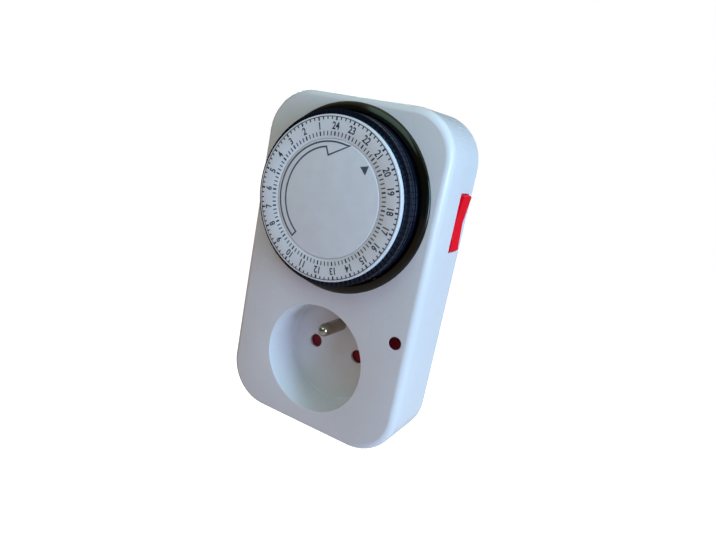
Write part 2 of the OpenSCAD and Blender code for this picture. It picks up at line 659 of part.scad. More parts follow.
module earth_pin() color("silver") turned([0, socket_z + earth_rise], [
    [0, well_d - earth_l], [earth_r * 0.5, well_d - earth_l + 0.16],
    [earth_r * 0.87, well_d - earth_l + 1.2],
    [earth_r, well_d - earth_l + 2.4], [earth_r, well_d], [earth_stem_r, well_d],
    [earth_stem_r, strap_y + 0.6], [1.4, strap_y + 0.6], [1.4, strap_y + 1.4], [0, strap_y + 1.4]]);

module earth_strap() color("goldenrod") difference() {
    box([-3, strap_y, socket_z + earth_rise - 3.4], [3, strap_y + 0.6, socket_z + clip_z - 0.3]);
    bar([0, socket_z + earth_rise], earth_stem_r + run, strap_y - over, strap_y + over);
}

clip_z = boss_r - 1.5;

module earth_clips() color("silver") difference() {
    union() {
        for (s = [-1, 1])
            box([-2.6, case_d - wall - 3, socket_z + s * clip_z - 0.3],
                [2.6, boss_y - 1, socket_z + s * clip_z + 0.3]);
        box([-2.6, strap_y, socket_z + clip_z - 0.3], [2.6, case_d - wall, socket_z + clip_z + 0.3]);
        box([-2.6, bridge_y, socket_z - clip_z], [2.6, bridge_y + 0.6, socket_z + clip_z]);
        bar([0, socket_z + earth_rise], 4.4, bridge_y, bridge_y + 0.6);
    }
    bar([0, socket_z + earth_rise], earth_r + 0.3, bridge_y - over, bridge_y + over);
}

module earth_sleeve() color("goldenrod")
    tube([0, socket_z + earth_rise], earth_r + 1.1, earth_r + 0.3, bridge_y + 0.6, boss_y - boss_end);

module plug_pins() color("silver") for (s = [-1, 1]) turned([s * pin_pitch / 2, socket_z], [
    [0, pin_head_y], [pin_r + 1, pin_head_y], [pin_r + 1, boss_y - boss_end], [neck_r, boss_y - boss_end],
    [neck_r, boss_y], [pin_r, boss_y], [pin_r, boss_y + pin_l - 1.6],
    [pin_r - 0.4, boss_y + pin_l - 0.6], [pin_r - 1.2, boss_y + pin_l], [0, boss_y + pin_l]]);

module socket_contacts() color("goldenrod") for (s = [-1, 1]) difference() {
    bar([s * pin_pitch / 2, socket_z], pin_r + 0.1 + sleeve_t, carrier_y + 0.4, bar_y);
    bar([s * pin_pitch / 2, socket_z], pin_r + 0.1, carrier_y, bar_y + over);
    box([s * pin_pitch / 2 - 0.4, carrier_y, socket_z - 5],
        [s * pin_pitch / 2 + 0.4, carrier_y + 9, socket_z + 5]);
}

module contact_carrier() color("white") difference() {
    bar([0, socket_z], carrier_r, carrier_y, carrier_end);
    for (s = [-1, 1])
        bar([s * pin_pitch / 2, socket_z], pin_r + 0.1 + sleeve_t + run,
            carrier_y - over, carrier_end + over);
    box([-4, carrier_y - over, socket_z + 5], [4, carrier_end + over, socket_z + carrier_r + over]);
    box([riser_x - 0.6, carrier_y - over, socket_z - 20], [20, carrier_end + over, socket_z + 20]);
}

module socket_shutter() color("crimson") difference() {
    union() {
        bar([0, socket_z], 3.4, shutter_y, shutter_y + shutter_t);
        box([-pin_pitch / 2, shutter_y, socket_z - 2],
            [pin_pitch / 2, shutter_y + shutter_t, socket_z + 2]);
        for (s = [-1, 1])
            bar([s * pin_pitch / 2, socket_z], pad_r, shutter_y - pocket_d, shutter_y + shutter_t);
    }
    bar([0, socket_z], 1.5 + run, floor_y, carrier_y);
}

module shutter_spring() color("silver")
    tube([0, socket_z], 2.9, 2.4, shutter_y + shutter_t + 0.05, carrier_y - 0.1);

// The neutral contact is joined straight to its plug pin.
module neutral_bar() color("goldenrod") difference() {
    box([-pin_pitch / 2 - 3, bar_y, socket_z - 3], [-pin_pitch / 2 + 3, pin_head_y, socket_z + 3]);
    box([-pin_pitch / 2 - 4, bar_y + bar_t, socket_z - 3 + bar_t],
        [-pin_pitch / 2 + 4, pin_head_y - bar_t, socket_z + 4]);
}

// From the live plug pin, past the carrier, up to the fixed contact of the switch.
module live_in_bar() color("goldenrod") union() {
    box([pin_pitch / 2 - 3, pin_head_y - bar_t, socket_z - 3], [riser_x + bar_t, pin_head_y, socket_z + 3]);
    box([riser_x, strap_y - 0.4, socket_z - 3], [riser_x + bar_t, pin_head_y, socket_z - 0.6]);
    box([riser_x, strap_y - 0.4, socket_z - 3], [riser_x + bar_t, strap_y + 0.8, bar_z]);
    box([riser_x, strap_y - 0.8, post_z], [lever_x + 1, strap_y + 0.8, bar_z]);
}

// From the moving contact of the switch down to the live contact of the socket.
module live_out_bar() color("goldenrod") union() {
    box([pin_pitch / 2 - 3, bar_y, socket_z - 3], [riser_x, bar_y + bar_t, socket_z + 3]);
    box([riser_x, bar_y, socket_z + 0.6], [riser_x + bar_t, bar_y + bar_t, socket_z + 3]);
    box([riser_x, blade_root_y - 0.6, socket_z + 0.6], [riser_x + bar_t, bar_y + bar_t, socket_z + 3]);
    box([riser_x, blade_root_y - 0.6, socket_z + 0.6],
        [riser_x + bar_t, blade_root_y + 0.8, blade_z + 1.2]);
}

// ---------- assembly ----------

module show(name) in_place() children();

show("front_shell") front_shell();
show("rear_shell") rear_shell();
show("case_screws") case_screws();
show("movement_screws") movement_screws();
show("dial_bezel") dial_bezel();
show("centre_disc") centre_disc();
show("number_plate") number_plate();
show("dial_drum") drum_with_ring();
for (k = [1:GROUPS]) show(tappet_name(k)) tappet_group(k);
show("movement_plate") movement_plate();
show("back_plate") back_plate();
show("plate_pillars") plate_pillars();
show("wheel_axles") wheel_axles();
show("dial_pinion") dial_pinion();
show("clutch_wheel") clutch_wheel();
show("clutch_spring") clutch_spring();
show("train_wheel_1") train_wheel(1, axle_a, turn_1);
show("train_wheel_2") train_wheel(2, axle_b, turn_2);
show("train_wheel_3") train_wheel(3, axle_a, turn_3);
show("train_wheel_4") train_wheel(4, axle_b, turn_4);
show("train_wheel_5") train_wheel(5, axle_a, turn_5);
show("rotor") rotor();
show("motor_cup") motor_cup();
show("motor_bobbin") motor_bobbin();
show("motor_coil") motor_coil();
show("motor_pole_plate") motor_pole_plate();
show("follower_lever") follower_lever();
show("lever_pin") lever_pin();
show("lever_spring") lever_spring();
show("moving_contact") moving_contact();
show("fixed_contact") fixed_contact();
show("override_slider") override_slider();
show("rocker") rocker();
show("rocker_pin") rocker_pin();
show("lamp_lens") lamp_lens();
show("neon_lamp") neon_lamp();
show("lamp_resistor") lamp_resistor();
show("earth_pin") earth_pin();
show("earth_strap") earth_strap();
show("earth_clips") earth_clips();
show("earth_sleeve") earth_sleeve();
show("plug_pins") plug_pins();
show("socket_contacts") socket_contacts();
show("contact_carrier") contact_carrier();
show("socket_shutter") socket_shutter();
show("shutter_spring") shutter_spring();
show("neutral_bar") neutral_bar();
show("live_in_bar") live_in_bar();
show("live_out_bar") live_out_bar();
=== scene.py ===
"""Looks of the plug-in timer switch: case, dial, socket, rocker and plug, on a plain pale stage.

All lengths are in metres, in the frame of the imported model: x to the right, y back into the wall, z up,
with the origin between the two plug pins, on the end of the plug body.
"""
import json
import math

import bmesh
import bpy
import numpy as np
from mathutils import Matrix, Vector
from mathutils.geometry import delaunay_2d_cdt


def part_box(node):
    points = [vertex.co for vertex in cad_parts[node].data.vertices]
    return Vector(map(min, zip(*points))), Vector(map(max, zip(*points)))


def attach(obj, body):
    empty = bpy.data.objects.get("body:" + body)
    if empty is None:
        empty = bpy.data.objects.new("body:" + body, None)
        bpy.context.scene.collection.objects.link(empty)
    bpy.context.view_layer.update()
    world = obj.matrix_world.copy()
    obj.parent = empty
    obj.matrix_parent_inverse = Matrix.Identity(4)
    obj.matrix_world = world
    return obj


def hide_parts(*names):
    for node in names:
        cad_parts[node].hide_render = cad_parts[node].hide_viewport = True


bl_info = {
    "name": "Plug-in timer switch",
    "version": (1, 0, 0),
    "blender": (4, 5, 0),
    "location": "View3D > Sidebar > Timer",
    "description": "Builds the pieces, finishes and stage of a plug-in timer switch round its packed frame",
    "category": "Object",
}

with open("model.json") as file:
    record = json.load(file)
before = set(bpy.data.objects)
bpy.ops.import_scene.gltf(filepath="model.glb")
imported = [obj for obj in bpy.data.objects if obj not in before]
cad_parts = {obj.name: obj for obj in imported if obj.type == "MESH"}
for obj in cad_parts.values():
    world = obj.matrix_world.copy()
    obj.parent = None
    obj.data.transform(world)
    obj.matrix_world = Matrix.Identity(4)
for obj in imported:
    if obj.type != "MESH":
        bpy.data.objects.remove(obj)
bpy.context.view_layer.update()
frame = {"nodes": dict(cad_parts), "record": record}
BOXES = {name: [np.array(corner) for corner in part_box(name)] for name in frame["nodes"]}

MM = 0.001
TAU = 2 * math.pi


def depths(node):
    """Front and back of a CAD node along y."""
    low, high = BOXES[node]
    return low[1], high[1]


def middle(node):
    """Middle of a CAD node seen from the front, as (x, z)."""
    low, high = BOXES[node]
    return (low[0] + high[0]) / 2, (low[2] + high[2]) / 2


def half_width(node):
    """Half the width of a CAD node, which is the radius of a round one."""
    low, high = BOXES[node]
    return (high[0] - low[0]) / 2


SHELL_LOW, SHELL_HIGH = BOXES["front_shell"]
FACE_Y, JOINT_Y = depths("front_shell")
CASE_W, CASE_H = SHELL_HIGH[0] - SHELL_LOW[0], SHELL_HIGH[2] - SHELL_LOW[2]
CASE_MID_Z = (SHELL_HIGH[2] + SHELL_LOW[2]) / 2
WELL = (0.0, 0.0)
DIAL, LENS, EARTH = middle("number_plate"), middle("lamp_lens"), middle("earth_pin")
PLATE_R, DISC_R, BEZEL_R = half_width("number_plate"), half_width("centre_disc"), half_width("dial_bezel")
FLANGE_R, EARTH_R = half_width("lamp_lens"), half_width("earth_pin")
COLLAR_R = BEZEL_R - 1.6 * MM         # the bezel's collar, which stands in the face
PRINT_H = 0.02 * MM                   # room that the printed marks take before plate and disc
PRINT_SINK = 0.01 * MM                # depth of the marks inside them

PIVOT_Y, PIVOT_Z = ((sum(corner[axis] for corner in BOXES["rocker_pin"]) / 2) for axis in (1, 2))
SLOT_W, SLOT_H = 7.9 * MM, 20.3 * MM  # the rocker's slot in the right side
SLOT_Y = (PIVOT_Y - SLOT_W / 2, PIVOT_Y + SLOT_W / 2)
SLOT_Z = (PIVOT_Z - SLOT_H / 2, PIVOT_Z + SLOT_H / 2)
SLOT_LEAD = 0.15 * MM                 # slope at the slot's outer edge
SLOT_FLARE = 0.6 * MM                 # how far the slot's ends spread towards the inside
FLAT_RUN = 0.6 * MM                   # how far the rounded front edge is drawn out over the face
CORNER_STEPS = 16                     # straight steps in each corner of the case's outline

TAPPET_GROUPS = [name for name in frame["nodes"] if name.startswith("tappets_")]
TAPPET_COUNT = 96
TAPPET_REACH = max(BOXES[name][1][0] for name in TAPPET_GROUPS) - DIAL[0]


# ---------- sizes and colours that a user would change ----------

def length(name, description, default, low, high):
    """A length, with its default and limits in millimetres."""
    return bpy.props.FloatProperty(
        name=name, description=description, default=default * MM, min=low * MM, max=high * MM,
        subtype="DISTANCE", unit="LENGTH")


def colour(name, description, default):
    """A colour."""
    return bpy.props.FloatVectorProperty(
        name=name, description=description, subtype="COLOR", size=3, default=default, min=0, max=1)


class TimerCaseSizes(bpy.types.PropertyGroup):
    """Sizes of the two shells."""
    corner_radius: length("Corner radius", "Radius of the case's corners seen from the front", 16.4, 8, 30)
    edge_radius: length("Edge radius", "Radius of the rounded front edge", 3.2, 1, 8)
    wall: length("Wall", "Thickness of the shells' walls", 2.0, 1, 4)
    back_depth: length("Rear shell depth", "Depth of the rear shell behind the joint", 4.0, 2, 12)
    back_inset: length("Rear inset", "Inset of the rear shell's back face from the case's outline", 3.2, 1, 8)
    boss_radius: length("Plug body radius", "Radius of the round plug body", 18.5, 15, 20)
    boss_wall: length("Plug body end", "Thickness of the plug body's end", 3.0, 1, 5)
    screw_inset: length("Screw inset", "Distance of the case screws from the case's sides", 9.0, 6, 14)


class TimerSocketSizes(bpy.types.PropertyGroup):
    """Sizes of the socket well."""
    well_radius: length("Well radius", "Radius of the socket well", 19.8, 15, 22)
    well_depth: length("Well depth", "Depth of the socket well", 16.0, 8, 20)
    floor: length("Well floor", "Thickness of the well's floor", 2.4, 1, 4)
    pocket_depth: length("Pocket depth", "Depth of the shutter's two pockets behind the well's floor",
                         1.2, 0.5, 1.4)
    contact_pitch: length("Contact pitch", "Distance between the two contact holes", 19.0, 15, 22)
    hole_radius: length("Contact hole radius", "Radius of the contact holes", 2.6, 2, 3)
    mouth_radius: length("Mouth rounding", "Radius of the rounding at the well's mouth", 0.2, 0.1, 3)


class TimerDialSizes(bpy.types.PropertyGroup):
    """Sizes of the printed dial and its tappets."""
    print_turn: bpy.props.FloatProperty(
        name="Dial turn", description="Direction in which the number 24 stands, from the right-hand side",
        default=math.radians(92.8), subtype="ANGLE", unit="ROTATION")
    digit_height: length("Digit height", "Height of the hour numbers", 2.45, 1, 4)
    digit_width: bpy.props.FloatProperty(
        name="Digit width", description="Width of the hour numbers as a share of the plain letter form",
        default=0.82, min=0.4, max=1.2, subtype="FACTOR")
    digit_weight: bpy.props.FloatProperty(
        name="Digit weight", description="How far the letter form is thickened, in its own units",
        default=0.024, min=0, max=0.03)
    line_width: length("Line width", "Width of the arrow's printed line", 0.55, 0.1, 1)
    tappet_ribs: bpy.props.IntProperty(
        name="Tappet ribs", description="Number of grip ribs round the outside of the tappets",
        default=5, min=1, max=10)
    rib_depth: length("Rib depth", "Depth of the grooves between the grip ribs", 0.28, 0, 0.4)


class TimerColours(bpy.types.PropertyGroup):
    """Colours of the finishes."""
    case: colour("Case", "Colour of the white moulded case", (0.80, 0.81, 0.81))
    plate: colour("Number plate", "Colour of the printed plate", (0.80, 0.82, 0.84))
    ink: colour("Ink", "Colour of the printed numbers and lines", (0.035, 0.04, 0.06))
    pale_ink: colour("Pale ink", "Colour of the arrow and the pointer on the still disc", (0.085, 0.10, 0.13))
    drum: colour("Drum", "Colour of the black dial drum and tappets", (0.004, 0.006, 0.016))
    bezel: colour("Bezel", "Colour of the black bezel", (0.0015, 0.0015, 0.001))
    rocker: colour("Rocker", "Colour of the rocker", (1.0, 0.004, 0.02))
    shutter: colour("Shutter", "Colour of the shutter behind the contact holes", (0.26, 0.004, 0.016))
    lens: colour("Lens", "Colour of the indicator lens", (0.09, 0.002, 0.006))


# ---------- surfaces ----------

def grid_faces(rows, columns):
    """Quads of a grid whose columns close on themselves: row r, column c joins r + 1 and c + 1."""
    row = np.arange(rows - 1)[:, None] * columns
    column = np.arange(columns)[None, :]
    right = (column + 1) % columns
    quads = np.stack([row + column, row + right, row + columns + right, row + columns + column], axis=-1)
    return quads.reshape(-1, 4)


def loft(loops, keep=None, smooth=True):
    """A skin through closed loops of equal length, loops[row, column, xyz]; keep masks its quads."""
    loops = np.asarray(loops, dtype=float)
    faces = grid_faces(*loops.shape[:2])
    if keep is not None:
        faces = faces[keep.reshape(-1)]
    return loops.reshape(-1, 3), faces.tolist(), smooth


def polar(centre, radius, degrees):
    """Points centre + radius * (cos a, sin a), as (x, z)."""
    a = np.radians(degrees)
    return np.stack([centre[0] + radius * np.cos(a), centre[1] + radius * np.sin(a)], axis=-1)


def arc(centre, radius, start, end, steps):
    """Points on a circle, in degrees from start to end."""
    return polar(centre, radius, np.linspace(start, end, steps + 1))


def circle(radius, centre, segments=48):
    """Points (x, z) all round a circle."""
    t = np.linspace(0, TAU, segments, endpoint=False)
    return np.stack([centre[0] + radius * np.cos(t), centre[1] + radius * np.sin(t)], axis=-1)


def at_depth(outline, y):
    """An (x, z) outline as points (x, y, z) at one depth."""
    return np.stack([outline[:, 0], np.full(len(outline), y), outline[:, 1]], axis=-1)


def carried(steps, keep=None, smooth=True):
    """A skin through steps of (outline, y)."""
    return loft(np.stack([at_depth(outline, y) for outline, y in steps]), keep, smooth)


def turned(profile, centre, segments=48):
    """A profile of (radius, y) turned about the y direction: (cx + r cos t, y, cz + r sin t)."""
    profile = np.asarray(profile, dtype=float)
    t = np.linspace(0, TAU, segments, endpoint=False)
    x = centre[0] + profile[:, :1] * np.cos(t)
    z = centre[1] + profile[:, :1] * np.sin(t)
    y = np.broadcast_to(profile[:, 1:], x.shape)
    return loft(np.stack([x, y, z], axis=-1))


def inside(points, outline):
    """Which points lie in a closed outline, by counting crossings of a line to the right."""
    x, z = points[:, 0, None], points[:, 1, None]
    x1, z1 = outline[:, 0], outline[:, 1]
    x2, z2 = np.roll(x1, -1), np.roll(z1, -1)
    spans = (z1 > z) != (z2 > z)
    crossing = x1 + (z - z1) * (x2 - x1) / np.where(z2 == z1, 1, z2 - z1)
    return (spans & (x < crossing)).sum(axis=1) % 2 == 1


def fill(outlines, y):
    """A flat face at depth y within the first outline, left open within the others."""
    points = np.concatenate(outlines)
    edges = []
    first = 0
    for outline in outlines:
        index = np.arange(len(outline)) + first
        edges += np.stack([index, np.roll(index, -1)], axis=-1).tolist()
        first += len(outline)
    scale = 1000.0                    # the triangulation works in millimetres
    result = delaunay_2d_cdt([tuple(p) for p in points * scale], edges, [], 1, 1e-4)
    corners = np.array([tuple(p) for p in result[0]]) / scale
    faces = np.array([f for f in result[2] if len(f) == 3])
    middles = corners[faces].mean(axis=1)
    left_open = ~inside(middles, outlines[0])
    for hole in outlines[1:]:
        left_open |= inside(middles, hole)
    return at_depth(corners, y), faces[~left_open].tolist(), False


def prism(outline, y0, y1):
    """An outline carried from y0 to y1, with its ends filled."""
    return [carried([(outline, y0), (outline, y1)]), fill([outline], y0), fill([outline], y1)]


def solid_of_turning(profile, centre, segments):
    """A profile of (radius, y) whose ends lie near the axis, closed there by flat caps."""
    caps = [fill([circle(radius, centre, segments)], y) for radius, y in (profile[0], profile[-1])]
    return [turned(profile, centre, segments), *caps]


def rounding(centre_r, centre_y, radius, start, end, steps=5):
    """Profile points (radius, y) on an arc, without its first point."""
    return [tuple(p) for p in arc((centre_r, centre_y), radius, start, end, steps)[1:]]


def bezier(corners, steps):
    """Profile points on the curve with three or four control points."""
    t = np.linspace(0, 1, steps)[:, None]
    order = len(corners) - 1
    return [tuple(p) for p in sum(math.comb(order, i) * t ** i * (1 - t) ** (order - i) * np.array(corner)
                                  for i, corner in enumerate(corners))]


def dome(radius, base_y, height, start, steps):
    """Profile points of a cap in front of base_y: (r sin t, base_y - h cos t), from start to 90 degrees."""
    turn = np.radians(np.linspace(start, 90, steps))
    return [(radius * math.sin(t), base_y - height * math.cos(t)) for t in turn]


def piece(name, patches, look, body, slot, *nodes):
    """One closed object from patches of (points, faces, smooth), welded, with its faces turned outwards.

    It has the finish of that name, rides on body and stands for the CAD nodes, which it hides; slot is not
    used.
    """
    points, faces, smooth = [], [], []
    first = 0
    for patch_points, patch_faces, patch_smooth in patches:
        points.append(patch_points)
        faces += [[i + first for i in face] for face in patch_faces]
        smooth += [patch_smooth] * len(patch_faces)
        first += len(patch_points)
    mesh = bpy.data.meshes.new(name)
    mesh.from_pydata(np.concatenate(points).tolist(), [], faces)
    mesh.polygons.foreach_set("use_smooth", smooth)
    made = bmesh.new()
    made.from_mesh(mesh)
    bmesh.ops.remove_doubles(made, verts=made.verts, dist=2e-6)
    bmesh.ops.dissolve_degenerate(made, edges=made.edges, dist=1e-7)
    gaps = [edge for edge in made.edges if not edge.is_manifold]
    if gaps:
        where = tuple(round(c, 5) for c in gaps[0].verts[0].co)
        raise RuntimeError(f"{name}: {len(gaps)} open edges, the first at {where}")
    bmesh.ops.recalc_face_normals(made, faces=made.faces)
    made.to_mesh(mesh)
    made.free()
    mesh.set_sharp_from_angle(angle=math.radians(38))
    mesh.materials.append(finish(look))
    obj = bpy.data.objects.new(name, mesh)
    bpy.context.scene.collection.objects.link(obj)
    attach(obj, body)
    if nodes:
        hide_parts(*nodes)
    return obj


def soften(obj, width, segments, angle):
    """Rounds every edge sharper than angle by a small bevel."""
    bevel = obj.modifiers.new("rounded edges", "BEVEL")
    bevel.width = width
    bevel.segments = segments
    bevel.limit_method = "ANGLE"
    bevel.angle_limit = math.radians(angle)
    bevel.use_clamp_overlap = True
    bevel.harden_normals = True


# ---------- finishes ----------

def feed(tree, inputs, values):
    """Gives each named input a constant or another node's output."""
    for label, value in values.items():
        if isinstance(value, bpy.types.NodeSocket):
            tree.links.new(value, inputs[label])
        else:
            inputs[label].default_value = value


def node(tree, kind, values, **settings):
    """The outputs of a new shader node with these settings and fed inputs."""
    made = tree.nodes.new("ShaderNode" + kind)
    for name, setting in settings.items():
        setattr(made, name, setting)
    feed(tree, made.inputs, values)
    return made.outputs


def noise(tree, vector, scale, detail=2.0, roughness=0.5):
    """A noise texture from about 0.3 to 0.7."""
    values = {"Vector": vector, "Scale": scale, "Detail": detail, "Roughness": roughness}
    return node(tree, "TexNoise", values)["Fac"]


def math_node(tree, kind, first, second):
    """A Math node; each side is a number or an output socket."""
    return node(tree, "Math", {0: first, 1: second}, operation=kind)[0]


def spread(tree, value, low, high, to_low, to_high):
    """A Map Range from low..high to to_low..to_high."""
    return node(tree, "MapRange", {"Value": value, "From Min": low, "From Max": high, "To Min": to_low,
                                   "To Max": to_high})[0]


def blend(tree, share, first, second):
    """A colour between two by share; each is a triple or an output socket."""
    sides = (side if isinstance(side, bpy.types.NodeSocket) else (*side, 1) for side in (first, second))
    return node(tree, "Mix", dict(zip((0, 6, 7), (share, *sides))), data_type="RGBA")[2]


def node_group(name, inputs):
    """A shader group with a Vector input and the given ones, and those inputs as its inside reads them."""
    group = bpy.data.node_groups.new(name, "ShaderNodeTree")
    for label, value in {"Vector": None, **inputs}.items():
        kind = "NodeSocketFloat" if isinstance(value, float) else "NodeSocketVector"
        socket = group.interface.new_socket(name=label, in_out="INPUT", socket_type=kind)
        if value is not None:
            socket.default_value = value
    return group, group.nodes.new("NodeGroupInput").outputs


def deliver(group, values):
    """The group with an output for each value."""
    for label in values:
        group.interface.new_socket(name=label, in_out="OUTPUT", socket_type="NodeSocketFloat")
    feed(group, group.nodes.new("NodeGroupOutput").inputs, values)
    return group


def moulded_skin(name):
    """Fine spark-eroded grain of a moulding, with slow flow marks in its tone and gloss."""
    group, given = node_group(name, {"Grain Scale": 5000.0, "Flow Scale": 60.0, "Flow Amount": 0.03})
    grain = noise(group, given["Vector"], given["Grain Scale"], detail=3.0)
    flow = noise(group, given["Vector"], given["Flow Scale"])
    low = math_node(group, "SUBTRACT", 1.0, given["Flow Amount"])
    return deliver(group, {"Height": grain, "Tone": spread(group, flow, 0.3, 0.7, low, 1.0),
                           "Gloss Shift": spread(group, grain, 0.3, 0.7, -0.03, 0.03)})


def handling_marks(name):
    """Faint rubbed patches and hair scratches from handling, as a mask from 0 to 1."""
    group, given = node_group(name, {"Patch Scale": 90.0, "Scratch Scale": 500.0, "Amount": 0.5})
    patch = noise(group, given["Vector"], given["Patch Scale"], detail=4.0, roughness=0.6)
    stretched = node(group, "Mapping", {"Vector": given["Vector"], "Rotation": (0.3, 0.9, 0.2),
                                        "Scale": (1.0, 0.06, 0.06)})["Vector"]
    scratch = noise(group, stretched, given["Scratch Scale"])
    both = math_node(group, "MULTIPLY", spread(group, scratch, 0.62, 0.70, 0.0, 1.0),
                     spread(group, patch, 0.5, 0.75, 0.0, 1.0))
    return deliver(group, {"Mask": math_node(group, "MULTIPLY", both, given["Amount"])})


def drawn_metal(name):
    """Fine lines along one direction, as drawn or turned metal has, with a slow change of tone."""
    group, given = node_group(name, {"Stretch": (1.0, 0.05, 1.0), "Line Scale": 3000.0, "Tarnish": 0.15})
    stretched = node(group, "VectorMath", {0: given["Vector"], 1: given["Stretch"]}, operation="MULTIPLY")[0]
    lines = noise(group, stretched, given["Line Scale"], detail=3.0)
    cloud = noise(group, given["Vector"], 220.0, detail=4.0)
    low = math_node(group, "SUBTRACT", 1.0, given["Tarnish"])
    return deliver(group, {"Height": lines, "Tone": spread(group, cloud, 0.35, 0.7, low, 1.0),
                           "Gloss Shift": spread(group, cloud, 0.35, 0.7, 0.08, -0.03)})


GROUPS = {}
LINE_DEPTH = 3e-6                     # height of the fine lines on metal


def grouped(tree, build, coordinates, values):
    """The outputs of a node with these values that uses the group build makes, which is made once."""
    name = build.__name__.replace("_", " ")
    if name not in GROUPS:
        GROUPS[name] = build(name)
    return node(tree, "Group", {"Vector": coordinates, **values}, node_tree=GROUPS[name])


def base_material(name, tint, roughness, metallic=0.0, specular=0.5):
    """A Principled material with its Object coordinates, and its tree."""
    material = bpy.data.materials.new(name)
    material.use_nodes = True
    tree = material.node_tree
    shader = tree.nodes["Principled BSDF"]
    feed(tree, shader.inputs, {"Base Color": (*tint, 1), "Roughness": roughness, "Metallic": metallic,
                               "Specular IOR Level": specular})
    return material, tree, shader, node(tree, "TexCoord", {})["Object"]


def bump(tree, height, depth):
    """A normal bent by that height."""
    return node(tree, "Bump", {"Strength": 1.0, "Distance": depth, "Height": height})["Normal"]


def moulded(name, tint, roughness, grain=4000.0, grain_depth=4e-6, flow=60.0, flow_amount=0.03,
            marks=0.4, specular=0.5, coat=0.0, gloss=(1.0, 1.0, 1.0)):
    """A moulded plastic of that tint: grain, flow marks, faint handling marks and the colour of its gloss."""
    material, tree, shader, coordinates = base_material(name, tint, roughness, specular=specular)
    surface = grouped(tree, moulded_skin, coordinates,
                      {"Grain Scale": grain, "Flow Scale": flow, "Flow Amount": flow_amount})
    touch = grouped(tree, handling_marks, coordinates, {"Amount": marks})
    rough = math_node(tree, "ADD", surface["Gloss Shift"], roughness)
    rubbed = math_node(tree, "MULTIPLY", touch["Mask"], 0.25)
    feed(tree, shader.inputs, {
        "Base Color": blend(tree, surface["Tone"], (0, 0, 0), tint),
        "Roughness": math_node(tree, "ADD", rough, rubbed), "Specular Tint": (*gloss, 1),
        "Coat Weight": coat, "Coat Roughness": 0.08, "Normal": bump(tree, surface["Height"], grain_depth)})
    return material


def plated(name, tint, roughness, stretch=(1.0, 0.05, 1.0), lines=3000.0, tarnish=0.15, dull=(0, 0, 0)):
    """A metal: lines along the direction with the small stretch, and tarnish towards a dull colour."""
    material, tree, shader, coordinates = base_material(name, tint, roughness, metallic=1.0)
    surface = grouped(tree, drawn_metal, coordinates,
                      {"Stretch": stretch, "Line Scale": lines, "Tarnish": tarnish})
    feed(tree, shader.inputs, {
        "Base Color": blend(tree, surface["Tone"], dull, tint),
        "Roughness": math_node(tree, "ADD", surface["Gloss Shift"], roughness),
        "Normal": bump(tree, surface["Height"], LINE_DEPTH)})
    return material


FINISHES = {}


def finish(name):
    """The finish of that name, made at its first use from the colours in the scene."""
    colours = bpy.context.scene.timer_colours
    recipes = {
        "white case": (moulded, colours.case, 0.26, dict(flow_amount=0.035, marks=0.2)),
        "printed plate": (moulded, colours.plate, 0.42, dict(
            grain=6000, flow_amount=0.05, flow=200, marks=0.3)),
        "ink": (moulded, colours.ink, 0.55, dict(grain=9000, flow_amount=0.3, flow=900, marks=0.0)),
        "pale ink": (moulded, colours.pale_ink, 0.55, dict(grain=9000, flow_amount=0.2, flow=900, marks=0.0)),
        "black drum": (moulded, colours.drum, 0.16, dict(
            grain=2500, grain_depth=1e-6, flow_amount=0.3, flow=150, marks=0.5, specular=0.6,
            gloss=(0.45, 0.70, 1.0))),
        "black bezel": (moulded, colours.bezel, 0.13, dict(
            grain=2500, grain_depth=1e-6, flow_amount=0.3, flow=80, marks=0.3, specular=0.36,
            gloss=(1.0, 0.94, 0.75))),
        "red rocker": (moulded, colours.rocker, 0.30, dict(flow_amount=0.12, flow=150, specular=0.03)),
        "red shutter": (moulded, colours.shutter, 0.35, dict(flow_amount=0.15, specular=0.2)),
        "red lens": (moulded, colours.lens, 0.14, dict(
            grain=1500, grain_depth=2e-6, flow_amount=0.4, flow=500, marks=0.3, specular=0.06)),
        # The nickel tint is partly the plated metal's own colour and partly painted shade: it is darkened and
        # browned to stand in for the shade and dark reflections of the earth pin deep in the well; the plug
        # pins share it.
        "nickel": (plated, (0.42, 0.36, 0.28), 0.17, dict(tarnish=0.4, dull=(0.24, 0.20, 0.14))),
        "zinc steel": (plated, (0.60, 0.61, 0.63), 0.34, dict(stretch=(0.05, 1.0, 1.0))),
        "brass": (plated, (0.80, 0.58, 0.24), 0.26, dict(stretch=(0.05, 1.0, 1.0), tarnish=0.25)),
        "natural acetal": (moulded, (0.78, 0.76, 0.68), 0.40, {}),
        "ferrite": (moulded, (0.03, 0.03, 0.035), 0.55, dict(grain=3000, flow_amount=0.3)),
        "winding": (plated, (0.60, 0.22, 0.08), 0.35, dict(stretch=(1.0, 1.0, 0.05), lines=4000)),
        "lamp glass": (moulded, (0.85, 0.45, 0.30), 0.08, dict(grain=600, coat=0.8, marks=0.0)),
        "lacquer": (moulded, (0.60, 0.46, 0.26), 0.32, dict(flow_amount=0.2)),
    }
    if name not in FINISHES:
        make, tint, roughness, more = recipes[name]
        FINISHES[name] = make(name, tint, roughness, **more)
    return FINISHES[name]


# ---------- outlines of the case ----------

def case_outline(inset, radius, stops=()):
    """The case's outline, inset all round: quarter circles of radius less the inset, stops on the right."""
    half_w, half_h, r = CASE_W / 2 - inset, CASE_H / 2 - inset, radius - inset
    x, z = half_w - r, half_h - r
    corners = [(x, CASE_MID_Z - z), (x, CASE_MID_Z + z), (-x, CASE_MID_Z + z), (-x, CASE_MID_Z - z)]
    arcs = [arc(centre, r, start, start + 90, CORNER_STEPS)
            for centre, start in zip(corners, (-90, 0, 90, 180))]
    side = np.array([[half_w, stop] for stop in stops]).reshape(-1, 2)
    return np.concatenate([arcs[0], side, *arcs[1:]])


def skin(steps, radius, stops=(), keep=None):
    """The case's outline carried through steps of (inset, y)."""
    return carried([(case_outline(inset, radius, stops), y) for inset, y in steps], keep)


